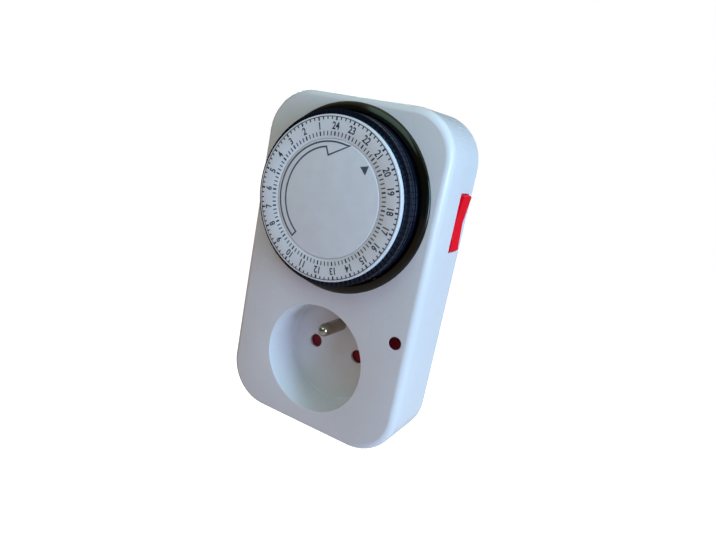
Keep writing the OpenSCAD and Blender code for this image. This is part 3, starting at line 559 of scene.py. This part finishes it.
def screw_places(sizes):
    """Middles of the four case screws, as (x, z)."""
    x, z = CASE_W / 2 - sizes.screw_inset, CASE_H / 2 - sizes.screw_inset
    return [(sx * x, CASE_MID_Z + sz * z) for sx in (-1, 1) for sz in (-1, 1)]


def contact_places(socket):
    """Middles of the two contact holes, and of the plug pins behind them, as (x, z)."""
    return [(side * socket.contact_pitch / 2, 0) for side in (-1, 1)]


# ---------- stage ----------

def stand(scene, name, data, at, right, up, back):
    """An object at a place, with its x, y and z along three directions."""
    obj = bpy.data.objects.new(name, data)
    obj.matrix_world = Matrix.Translation(at) @ Matrix((right, up, back)).transposed().to_4x4()
    scene.collection.objects.link(obj)
    return obj


def make_camera(scene):
    """A slightly wide lens, in front, above and to the right."""
    data = bpy.data.cameras.new("camera")
    data.lens, data.sensor_width = 29.207, 36
    data.clip_start, data.clip_end = 0.01, 50
    scene.camera = stand(scene, "camera", data, at=(0.1002, -0.2158, 0.0810), right=(0.8496, 0.4931, 0.1872),
                         up=(-0.2725, 0.1066, 0.9562), back=(0.4515, -0.8634, 0.2250))


def rays(tree):
    """1 for rays from the camera or through glass, and 1 for reflected rays."""
    path = node(tree, "LightPath", {})
    seen = math_node(tree, "MAXIMUM", path["Is Camera Ray"], path["Is Transmission Ray"])
    return seen, path["Is Glossy Ray"]


def make_world(scene):
    """White to the camera, a weak warm light on the object, and gloss from the right and above."""
    world = bpy.data.worlds.new("studio")
    world.use_nodes = True
    tree = world.node_tree
    seen, reflected = rays(tree)
    direction = node(tree, "SeparateXYZ", {0: node(tree, "TexCoord", {})["Generated"]})
    above = spread(tree, direction["Z"], 0.45, 0.9, 0.0, 1.0)
    right = spread(tree, direction["X"], 0.93, 0.985, 0.0, 1.0)
    gloss = blend(tree, above, (0.09, 0.09, 0.09), (0.95, 0.92, 0.7))
    gloss = blend(tree, right, gloss, (0.8, 1.0, 1.3))
    light = blend(tree, reflected, (0.246, 0.115, 0.057), gloss)
    feed(tree, tree.nodes["Background"].inputs, {"Color": blend(tree, seen, light, (1, 1, 1))})
    scene.world = world


def make_floor(scene):
    """A wide floor well below the timer, white where no shadow falls."""
    side, drop, pale = 6.0, -0.55, (0.8, 0.8, 0.8)
    mesh = bpy.data.meshes.new("floor")
    corners = [(-side, -side, drop), (side, -side, drop), (side, side, drop), (-side, side, drop)]
    mesh.from_pydata(corners, [], [(0, 1, 2, 3)])
    floor = bpy.data.objects.new("floor", mesh)
    scene.collection.objects.link(floor)
    material, tree, shader, coordinates = base_material("pale floor", pale, 0.9)
    seen, reflected = rays(tree)
    grain = spread(tree, noise(tree, coordinates, 40.0), 0.3, 0.7, 0.97, 1.0)
    feed(tree, shader.inputs, {"Base Color": blend(tree, grain, (0, 0, 0), pale)})
    strength = math_node(tree, "MAXIMUM", seen, math_node(tree, "MULTIPLY", reflected, 0.12))
    glow = node(tree, "Emission", {"Color": (1, 1, 1, 1), "Strength": strength})
    both = node(tree, "AddShader", {0: shader.outputs["BSDF"], 1: glow["Emission"]})
    feed(tree, tree.nodes["Material Output"].inputs, {"Surface": both["Shader"]})
    mesh.materials.append(material)


def make_lamps(scene):
    """Square lamps: name, place, aim, side of the square, power and colour."""
    lamps = [("key", (1.00, -0.22, 0.25), (0, -0.02, 0.035), 0.6, 8.3, (0.43, 0.745, 0.985)),
             ("front right", (0.9, -0.42, 0.02), (0, -0.035, 0.02), 0.3, 2.05, (0.56, 0.51, 1.0)),
             ("high right", (0.66, 0.12, 0.8), (0.036, -0.03, 0.09), 1.2, 4.6, (0.36, 0.76, 1.0)),
             ("near top", (-0.02, -0.22, 0.24), (0, -0.045, 0.08), 0.16, 0.186, (0.514, 0.933, 1.0)),
             ("near right", (0.24, -0.26, 0.02), (0, -0.035, 0.02), 0.2, 0.086, (0.01, 0.57, 1.0)),
             ("back left", (-1.0, 1.0, 0.4), (0, 0, 0.03), 0.8, 9.0, (0.75, 0.9, 1.0))]
    for name, at, aim, side, power, tint in lamps:
        data = bpy.data.lights.new(name, "AREA")
        data.shape = "RECTANGLE"
        data.size = data.size_y = side
        data.energy, data.color = power, tint
        back = np.array(at) - np.array(aim)
        back = back / np.linalg.norm(back)
        right = np.cross((0.0, 0.0, 1.0), back)
        right = right / np.linalg.norm(right)
        stand(scene, name, data, at, right, np.cross(back, right), back)


class TimerOperator:
    """What the timer's operators share."""
    bl_options = {"REGISTER", "UNDO"}


class TIMER_OT_stage(TimerOperator, bpy.types.Operator):
    """Camera, world, floor and lamps"""
    bl_idname = "timer.stage"
    bl_label = "Stage"

    def execute(self, context):
        scene = context.scene
        scene.view_settings.view_transform = "Standard"
        make_camera(scene)
        make_world(scene)
        make_floor(scene)
        make_lamps(scene)
        return {"FINISHED"}


# ---------- case ----------

def all_but(rows, columns, row):
    """A mask of a skin's quads that leaves out the one between the stops in that row."""
    keep = np.ones((rows, columns), bool)
    keep[row, CORNER_STEPS + 1] = False
    return keep


def slot_walls(wall):
    """The rocker's slot: a lead-in slope at its edge, then straight walls through the side."""
    half = CASE_W / 2

    def loop(x, grow):
        (y0, y1), (z0, z1) = ((low - grow, high + grow) for low, high in (SLOT_Y, SLOT_Z))
        return [(x, y0, z0), (x, y1, z0), (x, y1, z1), (x, y0, z1)]
    flare = np.array([(0, 0, -SLOT_FLARE)] * 2 + [(0, 0, SLOT_FLARE)] * 2)
    loops = [loop(half, SLOT_LEAD), loop(half - SLOT_LEAD, 0), loop(half - wall, 0) + flare]
    return loft(loops, smooth=False)


def front_face(sizes, socket, stops, inner_stops):
    """The flat face with its openings, the well behind it, and the inside of the face."""
    wall, mouth, well_r = sizes.wall, socket.mouth_radius, socket.well_radius
    flat = case_outline(sizes.edge_radius - FLAT_RUN, sizes.corner_radius, stops)
    inner_flat = case_outline(wall, sizes.corner_radius, inner_stops)
    face_in, floor_in = FACE_Y + wall, FACE_Y + socket.well_depth
    floor_out = floor_in + socket.floor
    pocket_y = floor_out - socket.pocket_depth
    lead, lens_lead, foot, segments = 0.1 * MM, 0.25 * MM, 0.8 * MM, 160
    dial_r, lens_r = COLLAR_R + 0.05 * MM, FLANGE_R - 0.45 * MM
    stem_r, hole_r = 2.05 * MM, socket.hole_radius
    dial = circle(dial_r, DIAL, segments)
    well_back = circle(well_r + wall, WELL, segments)
    stem = circle(stem_r, EARTH)
    profile = [(well_r + mouth, FACE_Y), *rounding(well_r + mouth, FACE_Y + mouth, mouth, 270, 180),
               (well_r, floor_in - foot), *rounding(well_r - foot, floor_in - foot, foot, 0, 90)]
    places = contact_places(socket)
    pockets = [pocket_outline(socket.contact_pitch / 2, turn) for turn in (180, 0)]
    patches = [
        fill([flat, circle(well_r + mouth, WELL, segments), dial, circle(lens_r + lens_lead, LENS)], FACE_Y),
        turned(profile, WELL, segments),
        fill([circle(well_r - foot, WELL, segments), *[circle(hole_r + lead, c) for c in places], stem],
             floor_in),
        turned([(stem_r, floor_in), (stem_r, floor_out)], EARTH),
        fill([well_back, *pockets, stem], floor_out),
        turned([(well_r + wall, floor_out), (well_r + wall, face_in)], WELL, segments),
        fill([inner_flat, well_back, dial, circle(lens_r, LENS)], face_in),
        turned([(dial_r, FACE_Y), (dial_r, face_in)], DIAL, segments),
        turned([(lens_r + lens_lead, FACE_Y), (lens_r, FACE_Y + lens_lead), (lens_r, face_in)], LENS)]
    hole = [(hole_r + lead, floor_in), (hole_r, floor_in + lead), (hole_r, pocket_y)]
    for centre, pocket in zip(places, pockets):
        patches += [turned(hole, centre),
                    fill([pocket, circle(hole_r, centre)], pocket_y),
                    carried([(pocket, pocket_y), (pocket, floor_out)], smooth=False)]
    return patches


def pocket_outline(half_pitch, turn):
    """Ring sector in which one of the shutter's pads swings, 24 to -64 degrees from its hole."""
    half, swing = 3.7 * MM, np.arange(24, -65, -8) + turn
    far, near = polar(WELL, half_pitch + half, swing), polar(WELL, half_pitch - half, swing[::-1])
    return np.concatenate([far, near])


class TIMER_OT_front_shell(TimerOperator, bpy.types.Operator):
    """Front shell: face, rounded edge, sides, socket well and the openings for dial, lens and rocker"""
    bl_idname = "timer.front_shell"
    bl_label = "Front shell"

    def execute(self, context):
        sizes, socket = context.scene.timer_case, context.scene.timer_socket
        radius, edge, wall, ease = sizes.corner_radius, sizes.edge_radius, sizes.wall, 0.25 * MM
        steps = [((edge - FLAT_RUN) * (1 - math.sin(a)), FACE_Y + edge * (1 - math.cos(a)))
                 for a in np.radians(np.linspace(0, 90, 13))]
        slot_row = len(steps)
        steps += [(0, SLOT_Y[0] - SLOT_LEAD), (0, SLOT_Y[1] + SLOT_LEAD), (0, JOINT_Y - ease),
                  (ease, JOINT_Y)]
        stops = (SLOT_Z[0] - SLOT_LEAD, SLOT_Z[1] + SLOT_LEAD)
        inner_stops = (SLOT_Z[0] - SLOT_FLARE, SLOT_Z[1] + SLOT_FLARE)
        inner_steps = [(wall, JOINT_Y), (wall, SLOT_Y[1]), (wall, SLOT_Y[0]), (wall, FACE_Y + wall)]
        columns = len(case_outline(0, radius, stops))
        rim = carried([(case_outline(ease, radius, stops), JOINT_Y),
                       (case_outline(wall, radius, inner_stops), JOINT_Y)])
        patches = [skin(steps, radius, stops, all_but(len(steps) - 1, columns, slot_row)),
                   skin(inner_steps, radius, inner_stops, all_but(3, columns, 1)),
                   rim, slot_walls(wall)]
        patches += front_face(sizes, socket, stops, inner_stops)
        piece("case_front", patches, "white case", "case", "white_abs", "front_shell")
        return {"FINISHED"}


class TIMER_OT_shell_bosses(TimerOperator, bpy.types.Operator):
    """Bosses inside the front shell for the case screws"""
    bl_idname = "timer.shell_bosses"
    bl_label = "Shell bosses"

    def execute(self, context):
        sizes = context.scene.timer_case
        start, end, hole_end = FACE_Y + sizes.wall - 0.2 * MM, JOINT_Y - 1 * MM, JOINT_Y - 12 * MM
        boss_r, hole_r = 3.2 * MM, 1.2 * MM
        profile = [(boss_r, start), (boss_r, end), (hole_r, end), (hole_r, hole_end)]
        patches = [patch for centre in screw_places(sizes) for patch in solid_of_turning(profile, centre, 32)]
        piece("case_bosses", patches, "white case", "case", "white_abs")
        return {"FINISHED"}


def notched_circle(radius, shrink=0.0):
    """A circle with a square notch at its top and one at its bottom for the earth clips."""
    half, depth = 3.2 * MM, radius - 2.2 * MM
    r = radius - shrink
    edge = math.degrees(math.asin(half / r))
    return np.concatenate([arc(WELL, r, -90 + edge, 90 - edge, 60), [(half, depth), (-half, depth)],
                           arc(WELL, r, 90 + edge, 270 - edge, 60), [(-half, -depth), (half, -depth)]])


def plug_body(notched, bore, back, sizes, socket):
    """The plug body: notched outside, round bore inside, rounded end with its holes."""
    end = depths("rear_shell")[1]
    inside_end = end - sizes.boss_wall
    soft, neck, earth_r, lead = 0.9 * MM, 2.15 * MM, 2.7 * MM, 0.2 * MM
    outside = [(notched, back)]
    for a in np.radians(np.linspace(0, 90, 6)):
        shrunk = notched_circle(sizes.boss_radius, soft * (1 - math.cos(a)))
        outside.append((shrunk, end - soft + soft * math.sin(a)))
    pins = contact_places(socket)
    necks = [circle(neck, c) for c in pins]
    return [carried(outside),
            fill([notched_circle(sizes.boss_radius, soft), *necks, circle(earth_r + lead, EARTH)], end),
            fill([circle(bore, WELL, 96), *necks, circle(earth_r, EARTH)], inside_end),
            turned([(bore, back - sizes.wall), (bore, inside_end)], WELL, 96),
            *[turned([(neck, end), (neck, inside_end)], c) for c in pins],
            turned([(earth_r + lead, end), (earth_r, end - lead), (earth_r, inside_end)], EARTH)]


class TIMER_OT_rear_shell(TimerOperator, bpy.types.Operator):
    """Rear shell: sloping edge, back face with screw seats, and the round plug body with its earth notches"""
    bl_idname = "timer.rear_shell"
    bl_label = "Rear shell"

    def execute(self, context):
        sizes, socket = context.scene.timer_case, context.scene.timer_socket
        radius, wall, inset = sizes.corner_radius, sizes.wall, sizes.back_inset
        back = JOINT_Y + sizes.back_depth
        floor, bore = back - wall, sizes.boss_radius - wall
        rim, edge, lip, lip_in = 0.45 * MM, 0.2 * MM, wall + 0.15 * MM, 2 * wall - 0.5 * MM
        lip_y = JOINT_Y - 1.8 * MM
        slope = [(rim, JOINT_Y), (edge, JOINT_Y + 0.25 * MM), (edge, JOINT_Y + 0.8 * MM)]
        slope += bezier([(inset - 1.0 * MM, back - 0.75 * MM), (inset - 0.35 * MM, back), (inset, back)], 6)
        screws = screw_places(sizes)
        seat, seat_y, clear, lead, segments = 2.6 * MM, back - 1.7 * MM, 1.6 * MM, 0.08 * MM, 40
        notched = notched_circle(sizes.boss_radius)
        patches = [skin(slope, radius),
                   skin([(rim, JOINT_Y), (lip, JOINT_Y), (lip, lip_y), (lip_in, lip_y), (lip_in, floor)],
                        radius),
                   fill([case_outline(inset, radius), notched,
                         *[circle(seat + lead, c, segments) for c in screws]], back),
                   fill([case_outline(lip_in, radius), circle(bore, WELL, 96),
                         *[circle(clear, c, segments) for c in screws]], floor)]
        patches += [turned([(seat + lead, back), (seat, back - lead), (seat, seat_y), (clear, seat_y),
                            (clear, floor)], c, segments) for c in screws]
        patches += plug_body(notched, bore, back, sizes, socket)
        piece("case_rear", patches, "white case", "case", "white_abs", "rear_shell")
        return {"FINISHED"}


# ---------- dial ----------

class TIMER_OT_bezel(TimerOperator, bpy.types.Operator):
    """Black bezel round the dial"""
    bl_idname = "timer.bezel"
    bl_label = "Bezel"

    def execute(self, context):
        front, back = depths("dial_bezel")
        inner, soft = BEZEL_R - 2.9 * MM, 0.25 * MM
        profile = [(inner, back), (inner, front + soft),
                   *rounding(inner + soft, front + soft, soft, 180, 270),
                   *bezier([(inner + 0.55 * MM, front), (BEZEL_R - 1.2 * MM, front + 0.15 * MM),
                            (BEZEL_R, FACE_Y - 0.75 * MM), (BEZEL_R, FACE_Y - 0.05 * MM)], 14),
                   (BEZEL_R, FACE_Y), (COLLAR_R, FACE_Y), (COLLAR_R, back), (inner, back)]
        piece("bezel", [turned(profile, DIAL, 240)], "black bezel", "case", "black_abs", "dial_bezel")
        return {"FINISHED"}


def ticks(dial, y0, y1):
    """Quarter-hour ticks in two rings, broader at each hour, and the line round the outside."""
    quarter = np.arange(TAPPET_COUNT)
    turn = dial.print_turn + quarter * TAU / TAPPET_COUNT
    hour = quarter % 4 == 0
    near, far = 26.25 * MM, 26.5 * MM
    return [bars(turn, 20.35 * MM, 21.75 * MM, np.where(hour, 0.52, 0.36) * MM, y0, y1),
            bars(turn, np.where(hour, 25.2, 25.45) * MM, 26.35 * MM, np.where(hour, 0.60, 0.42) * MM, y0, y1),
            turned([(near, y0), (far, y0), (far, y1), (near, y1), (near, y0)], DIAL, 192)]


def bars(turn, inner, outer, width, y0, y1):
    """Boxes between two radii: centre + r * (cos t, sin t) +- w / 2 * (-sin t, cos t)."""
    along = np.stack([np.cos(turn), np.sin(turn)], axis=-1)
    across = np.stack([-np.sin(turn), np.cos(turn)], axis=-1) * width[:, None] / 2
    inner, outer = (along * np.broadcast_to(r, turn.shape)[:, None] for r in (inner, outer))
    flat = np.stack([inner - across, outer - across, outer + across, inner + across], axis=1) + DIAL
    ends = [at_depth(flat.reshape(-1, 2), y).reshape(-1, 4, 3) for y in (y0, y1)]
    box = np.array([[0, 1, 2, 3], [7, 6, 5, 4], [0, 4, 5, 1], [1, 5, 6, 2], [2, 6, 7, 3], [3, 7, 4, 0]])
    faces = (box[None] + 8 * np.arange(len(turn))[:, None, None]).reshape(-1, 4)
    return np.concatenate(ends, axis=1).reshape(-1, 3), faces.tolist(), False


def letterform(hour, dial, y0, y1):
    """One number, its top outwards, as a thin solid: two flat faces joined along their free edges."""
    curve = bpy.data.curves.new("hour", "FONT")
    curve.body, curve.align_x = str(hour), "CENTER"
    curve.resolution_u, curve.offset = 4, dial.digit_weight
    made = bpy.data.objects.new("hour", curve)
    mesh = bpy.data.meshes.new_from_object(made)
    flat = np.array([tuple(vertex.co[:2]) for vertex in mesh.vertices])
    faces = [list(face.vertices) for face in mesh.polygons]
    bpy.data.objects.remove(made)
    bpy.data.curves.remove(curve)
    bpy.data.meshes.remove(mesh)
    low, high, foot = flat.min(axis=0), flat.max(axis=0), 22.3 * MM
    scale = dial.digit_height / (high[1] - low[1])
    u = (flat[:, 0] - (low[0] + high[0]) / 2) * scale * dial.digit_width
    v = (flat[:, 1] - low[1]) * scale + foot
    t = dial.print_turn + hour * TAU / 24
    outline = np.stack([DIAL[0] + v * math.cos(t) + u * math.sin(t),
                        DIAL[1] + v * math.sin(t) - u * math.cos(t)], axis=-1)
    count, edges = len(outline), {}
    for face in faces:
        for a, b in zip(face, face[1:] + face[:1]):
            key = (min(a, b), max(a, b))
            edges[key] = None if key in edges else (a, b)
    sides = [[b, a, a + count, b + count] for a, b in filter(None, edges.values())]
    back = [[i + count for i in reversed(face)] for face in faces]
    return np.concatenate([at_depth(outline, y0), at_depth(outline, y1)]), faces + back + sides, False


class TIMER_OT_number_plate(TimerOperator, bpy.types.Operator):
    """Turning plate with the hour numbers and its printed ticks"""
    bl_idname = "timer.number_plate"
    bl_label = "Number plate"

    def execute(self, context):
        dial = context.scene.timer_dial
        print_y, back = depths("number_plate")
        front, bore, soft = print_y + PRINT_H, DISC_R + 0.22 * MM, 0.3 * MM
        slope_run, slope_drop = 0.6 * MM, 0.32 * MM
        profile = [(bore, back), (bore, front + slope_drop), (bore + slope_run, front),
                   (PLATE_R - soft, front), *rounding(PLATE_R - soft, front + soft, soft, 270, 360),
                   (PLATE_R, back), (bore, back)]
        piece("number_plate_body", [turned(profile, DIAL, 240)], "printed plate", "dial", "plate_print",
              "number_plate")
        y0, y1 = print_y, front + PRINT_SINK
        piece("dial_marks", ticks(dial, y0, y1), "ink", "dial", "plate_print")
        numbers = [letterform(hour, dial, y0, y1) for hour in range(1, 25)]
        piece("hour_numbers", numbers, "ink", "dial", "plate_print")
        return {"FINISHED"}


def arrow_path():
    """The arrow's outline: tail end, outer arc clockwise round the left, head, and inner arc back."""
    tail, shoulder, neck = 360 - 126.4, 78.0, 106.9
    outer_turn, inner_turn = np.linspace(tail, shoulder, 48), np.linspace(neck, tail, 44)
    outer = polar(DIAL, (18.25 + 0.35 * (tail - outer_turn) / (tail - shoulder)) * MM, outer_turn)
    head = [polar(DIAL, r * MM, a) for r, a in ((18.95, 73.8), (14.2, 98.6), (16.9, 101.4))]
    inner = polar(DIAL, (16.9 - 0.7 * np.clip((inner_turn - neck) / 60, 0, 1)) * MM, inner_turn)
    return np.concatenate([outer, np.stack(head), inner])


def band(path, width, y0, y1):
    """A closed line of that width: each point moved by half the width along its corner's mitre."""
    before, after = path - np.roll(path, 1, axis=0), np.roll(path, -1, axis=0) - path
    before, after = (step / np.linalg.norm(step, axis=1, keepdims=True) for step in (before, after))
    normal = np.stack([-(before + after)[:, 1], (before + after)[:, 0]], axis=-1)
    normal = normal / np.linalg.norm(normal, axis=1, keepdims=True)
    lean = normal[:, 0] * -after[:, 1] + normal[:, 1] * after[:, 0]
    mitre = normal * np.clip(1 / np.abs(lean), 1, 2.5)[:, None] * width / 2
    a, b = path + mitre, path - mitre
    return carried([(a, y0), (b, y0), (b, y1), (a, y1), (a, y0)])


class TIMER_OT_centre_disc(TimerOperator, bpy.types.Operator):
    """Still disc in the middle of the dial, with its printed arrow and pointer"""
    bl_idname = "timer.centre_disc"
    bl_label = "Centre disc"

    def execute(self, context):
        print_y, back = depths("centre_disc")
        front, rim, soft = print_y + PRINT_H, DISC_R + 0.1 * MM, 0.42 * MM
        rim_back, stem_r, core = print_y + 1.4 * MM, 2.4 * MM, 0.4 * MM
        profile = [(core, front), (rim - soft, front), *rounding(rim - soft, front + soft, soft, 270, 360),
                   (rim, rim_back), (stem_r, rim_back), (stem_r, back), (core, back)]
        piece("centre_disc_body", solid_of_turning(profile, DIAL, 240), "printed plate", "case",
              "plate_print", "centre_disc")
        y0, y1 = print_y, front + PRINT_SINK
        pointer = np.stack([polar(DIAL, r * MM, a) for r, a in ((16.2, 39.5), (18.8, 45.2), (16.2, 50.9))])
        patches = [band(arrow_path(), context.scene.timer_dial.line_width, y0, y1),
                   *prism(pointer, y0, y1)]
        piece("disc_arrow", patches, "pale ink", "case", "plate_print")
        return {"FINISHED"}


def tappet_blocks(turn, dial):
    """Blocks between two radii; the outer one dips by depth / 2 * (1 - cos(2 pi n s)) along the block."""
    y0, y1 = depths("tappets_01")
    rows = 4 * dial.tappet_ribs + 1
    s = np.linspace(0, 1, rows)
    radius = TAPPET_REACH - dial.rib_depth / 2 * (1 - np.cos(TAU * dial.tappet_ribs * s))
    foot, neck = np.full(rows, 26.5 * MM), np.full(rows, TAPPET_REACH - 0.45 * MM)
    stem, head = math.radians(1.21), math.radians(1.82)
    tip = head * 0.93
    section_r = np.stack([foot, neck, neck, radius, radius, neck, neck, foot], axis=-1)
    section_a = np.array([-stem, -stem, -head, -tip, tip, head, stem, stem])
    angle = turn[:, None, None] + section_a
    x, z = DIAL[0] + section_r * np.cos(angle), DIAL[1] + section_r * np.sin(angle)
    y = np.broadcast_to((y0 + (y1 - y0) * s)[:, None], x.shape)
    corners = len(section_a)
    first = rows * corners * np.arange(len(turn))[:, None, None]
    sides = (grid_faces(rows, corners)[None] + first).reshape(-1, 4)
    cap = np.arange(corners)
    ends = (np.stack([cap, cap[::-1] + (rows - 1) * corners])[None] + first).reshape(-1, corners)
    return np.stack([x, y, z], axis=-1).reshape(-1, 3), sides.tolist() + ends.tolist(), True


class TIMER_OT_tappets(TimerOperator, bpy.types.Operator):
    """The 96 quarter-hour tappets round the drum, with their grip ribs"""
    bl_idname = "timer.tappets"
    bl_label = "Tappets"

    def execute(self, context):
        each = TAPPET_COUNT // len(TAPPET_GROUPS)
        for index, name in enumerate(TAPPET_GROUPS):
            turn = np.radians((index * each + np.arange(each)) * 360 / TAPPET_COUNT)
            piece(name.replace("tappets", "tappet_keys"), [tappet_blocks(turn, context.scene.timer_dial)],
                  "black drum", name, "black_abs", name)
        return {"FINISHED"}


# ---------- rocker, lens and pins ----------

class TIMER_OT_rocker(TimerOperator, bpy.types.Operator):
    """Red rocker in the right side"""
    bl_idname = "timer.rocker"
    bl_label = "Rocker"

    def execute(self, context):
        front, back = depths("rocker")
        middle_y, tail_half = (front + back) / 2, 1.2 * MM
        pivot = np.array((32 * MM, PIVOT_Z))
        reach, end_r, hub_x, hub_z = CASE_W / 2 - pivot[0], 10.6 * MM, -1.6 * MM, 3.2 * MM
        top, bottom = (math.degrees(math.acos((reach + proud) / end_r)) for proud in (0.65 * MM, 1.05 * MM))
        key = np.concatenate([[(reach + 0.05 * MM, 0)], arc((0, 0), end_r, top, 84, 6),
                              [(hub_x, hub_z), (hub_x, -hub_z)], arc((0, 0), end_r, -84, -bottom, 6)])
        tail = np.array([(0, 0.5), (-7.6, 0.6), (-8.4, 0.35), (-8.6, 0), (-8.4, -0.35), (-7.6, -0.6),
                         (0, -0.5)]) * MM
        lean = math.radians(3)
        turn = np.array([[math.cos(lean), math.sin(lean)], [-math.sin(lean), math.cos(lean)]])
        patches = prism(key @ turn.T + pivot, front, back)
        patches += prism(tail @ turn.T + pivot, middle_y - tail_half, middle_y + tail_half)
        rocker = piece("rocker_key", patches, "red rocker", "rocker", "red_abs", "rocker")
        soften(rocker, 0.45 * MM, 3, 30)
        return {"FINISHED"}


class TIMER_OT_lens(TimerOperator, bpy.types.Operator):
    """Indicator lens beside the well"""
    bl_idname = "timer.lens"
    bl_label = "Lens"

    def execute(self, context):
        r, back = FLANGE_R - 0.5 * MM, depths("lamp_lens")[1]
        front, low, flange_y = FACE_Y - 0.12 * MM, FACE_Y + 0.1 * MM, FACE_Y + 1.05 * MM
        profile = [*dome(r, low, low - front, 6, 12), (r, flange_y), (FLANGE_R, flange_y), (FLANGE_R, back),
                   (0.3 * MM, back)]
        piece("lamp_lens_dome", solid_of_turning(profile, LENS, 64), "red lens", "case", "red_lens",
              "lamp_lens")
        return {"FINISHED"}


class TIMER_OT_metal_pins(TimerOperator, bpy.types.Operator):
    """Earth pin in the well and the two plug pins"""
    bl_idname = "timer.metal_pins"
    bl_label = "Pins"

    def execute(self, context):
        socket, core = context.scene.timer_socket, 0.2 * MM
        front, back = depths("earth_pin")
        floor_in, strap_y = FACE_Y + socket.well_depth, -24.2 * MM
        nose, stem_r, foot_r = 3.0 * MM, 2.0 * MM, 1.4 * MM
        profile = [*dome(EARTH_R, front + nose, nose, 3, 14), (EARTH_R, floor_in), (stem_r, floor_in),
                   (stem_r, strap_y), (foot_r, strap_y), (foot_r, back), (core, back)]
        piece("earth_pin_turned", solid_of_turning(profile, EARTH, 64), "nickel", "case", "nickel",
              "earth_pin")
        head_y, end = depths("plug_pins")
        r, soft, neck_r, head_r, head_end = 2.4 * MM, 1.5 * MM, 2.1 * MM, 3.4 * MM, -3 * MM
        profile = [(core, head_y), (head_r, head_y), (head_r, head_end), (neck_r, head_end), (neck_r, 0),
                   (r, 0), (r, end - soft), *rounding(r - soft, end - soft, soft, 0, 90, 9), (core, end)]
        patches = [patch for centre in contact_places(socket)
                   for patch in solid_of_turning(profile, centre, 64)]
        piece("plug_pins_turned", patches, "nickel", "case", "nickel", "plug_pins")
        return {"FINISHED"}


class TIMER_OT_inner_parts(TimerOperator, bpy.types.Operator):
    """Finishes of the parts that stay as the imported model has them"""
    bl_idname = "timer.inner_parts"
    bl_label = "Inner parts"

    def execute(self, context):
        by_slot = {
            "white_abs": "white case", "black_abs": "black drum", "plate_print": "printed plate",
            "red_abs": "red shutter", "red_lens": "red lens", "nickel": "nickel", "steel": "zinc steel",
            "brass": "brass", "acetal": "natural acetal", "magnet": "ferrite", "copper_wire": "winding",
            "neon_glass": "lamp glass", "resistor_body": "lacquer"}
        slot_of = {entry["node"]: entry["material_slot"] for entry in frame["record"]["subparts"]}
        for name, part in frame["nodes"].items():
            for slot in part.material_slots:
                slot.material = finish(by_slot[slot_of[name]])
        return {"FINISHED"}


PIECES = (TIMER_OT_stage, TIMER_OT_inner_parts, TIMER_OT_front_shell, TIMER_OT_shell_bosses,
          TIMER_OT_rear_shell, TIMER_OT_bezel, TIMER_OT_number_plate, TIMER_OT_centre_disc,
          TIMER_OT_tappets, TIMER_OT_rocker, TIMER_OT_lens, TIMER_OT_metal_pins)


class TIMER_PT_pieces(bpy.types.Panel):
    """Sizes, colours and pieces of the timer"""
    bl_idname = "TIMER_PT_pieces"
    bl_label = "Plug-in timer switch"
    bl_space_type = "VIEW_3D"
    bl_region_type = "UI"
    bl_category = "Timer"

    def draw(self, context):
        for name in GROUP_CLASSES:
            box, group = self.layout.box(), getattr(context.scene, name)
            box.label(text=name.removeprefix("timer_").capitalize())
            for value in group.__annotations__:
                box.prop(group, value)
        for operator in PIECES:
            self.layout.operator(operator.bl_idname)


GROUP_CLASSES = {"timer_case": TimerCaseSizes, "timer_socket": TimerSocketSizes,
                 "timer_dial": TimerDialSizes, "timer_colours": TimerColours}


def register():
    """Registers the property groups, the operators and the panel."""
    for name, group in GROUP_CLASSES.items():
        bpy.utils.register_class(group)
        setattr(bpy.types.Scene, name, bpy.props.PointerProperty(type=group))
    for shown in (*PIECES, TIMER_PT_pieces):
        bpy.utils.register_class(shown)


def unregister():
    """Takes the classes away again, last first."""
    for shown in (TIMER_PT_pieces, *reversed(PIECES)):
        bpy.utils.unregister_class(shown)
    for name, group in reversed(GROUP_CLASSES.items()):
        delattr(bpy.types.Scene, name)
        bpy.utils.unregister_class(group)


def main():
    """Registers the classes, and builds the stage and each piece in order."""
    register()
    bpy.ops.timer.stage()
    bpy.ops.timer.inner_parts()
    bpy.ops.timer.front_shell()
    bpy.ops.timer.shell_bosses()
    bpy.ops.timer.rear_shell()
    bpy.ops.timer.bezel()
    bpy.ops.timer.number_plate()
    bpy.ops.timer.centre_disc()
    bpy.ops.timer.tappets()
    bpy.ops.timer.rocker()
    bpy.ops.timer.lens()
    bpy.ops.timer.metal_pins()


if __name__ == "__main__":
    main()
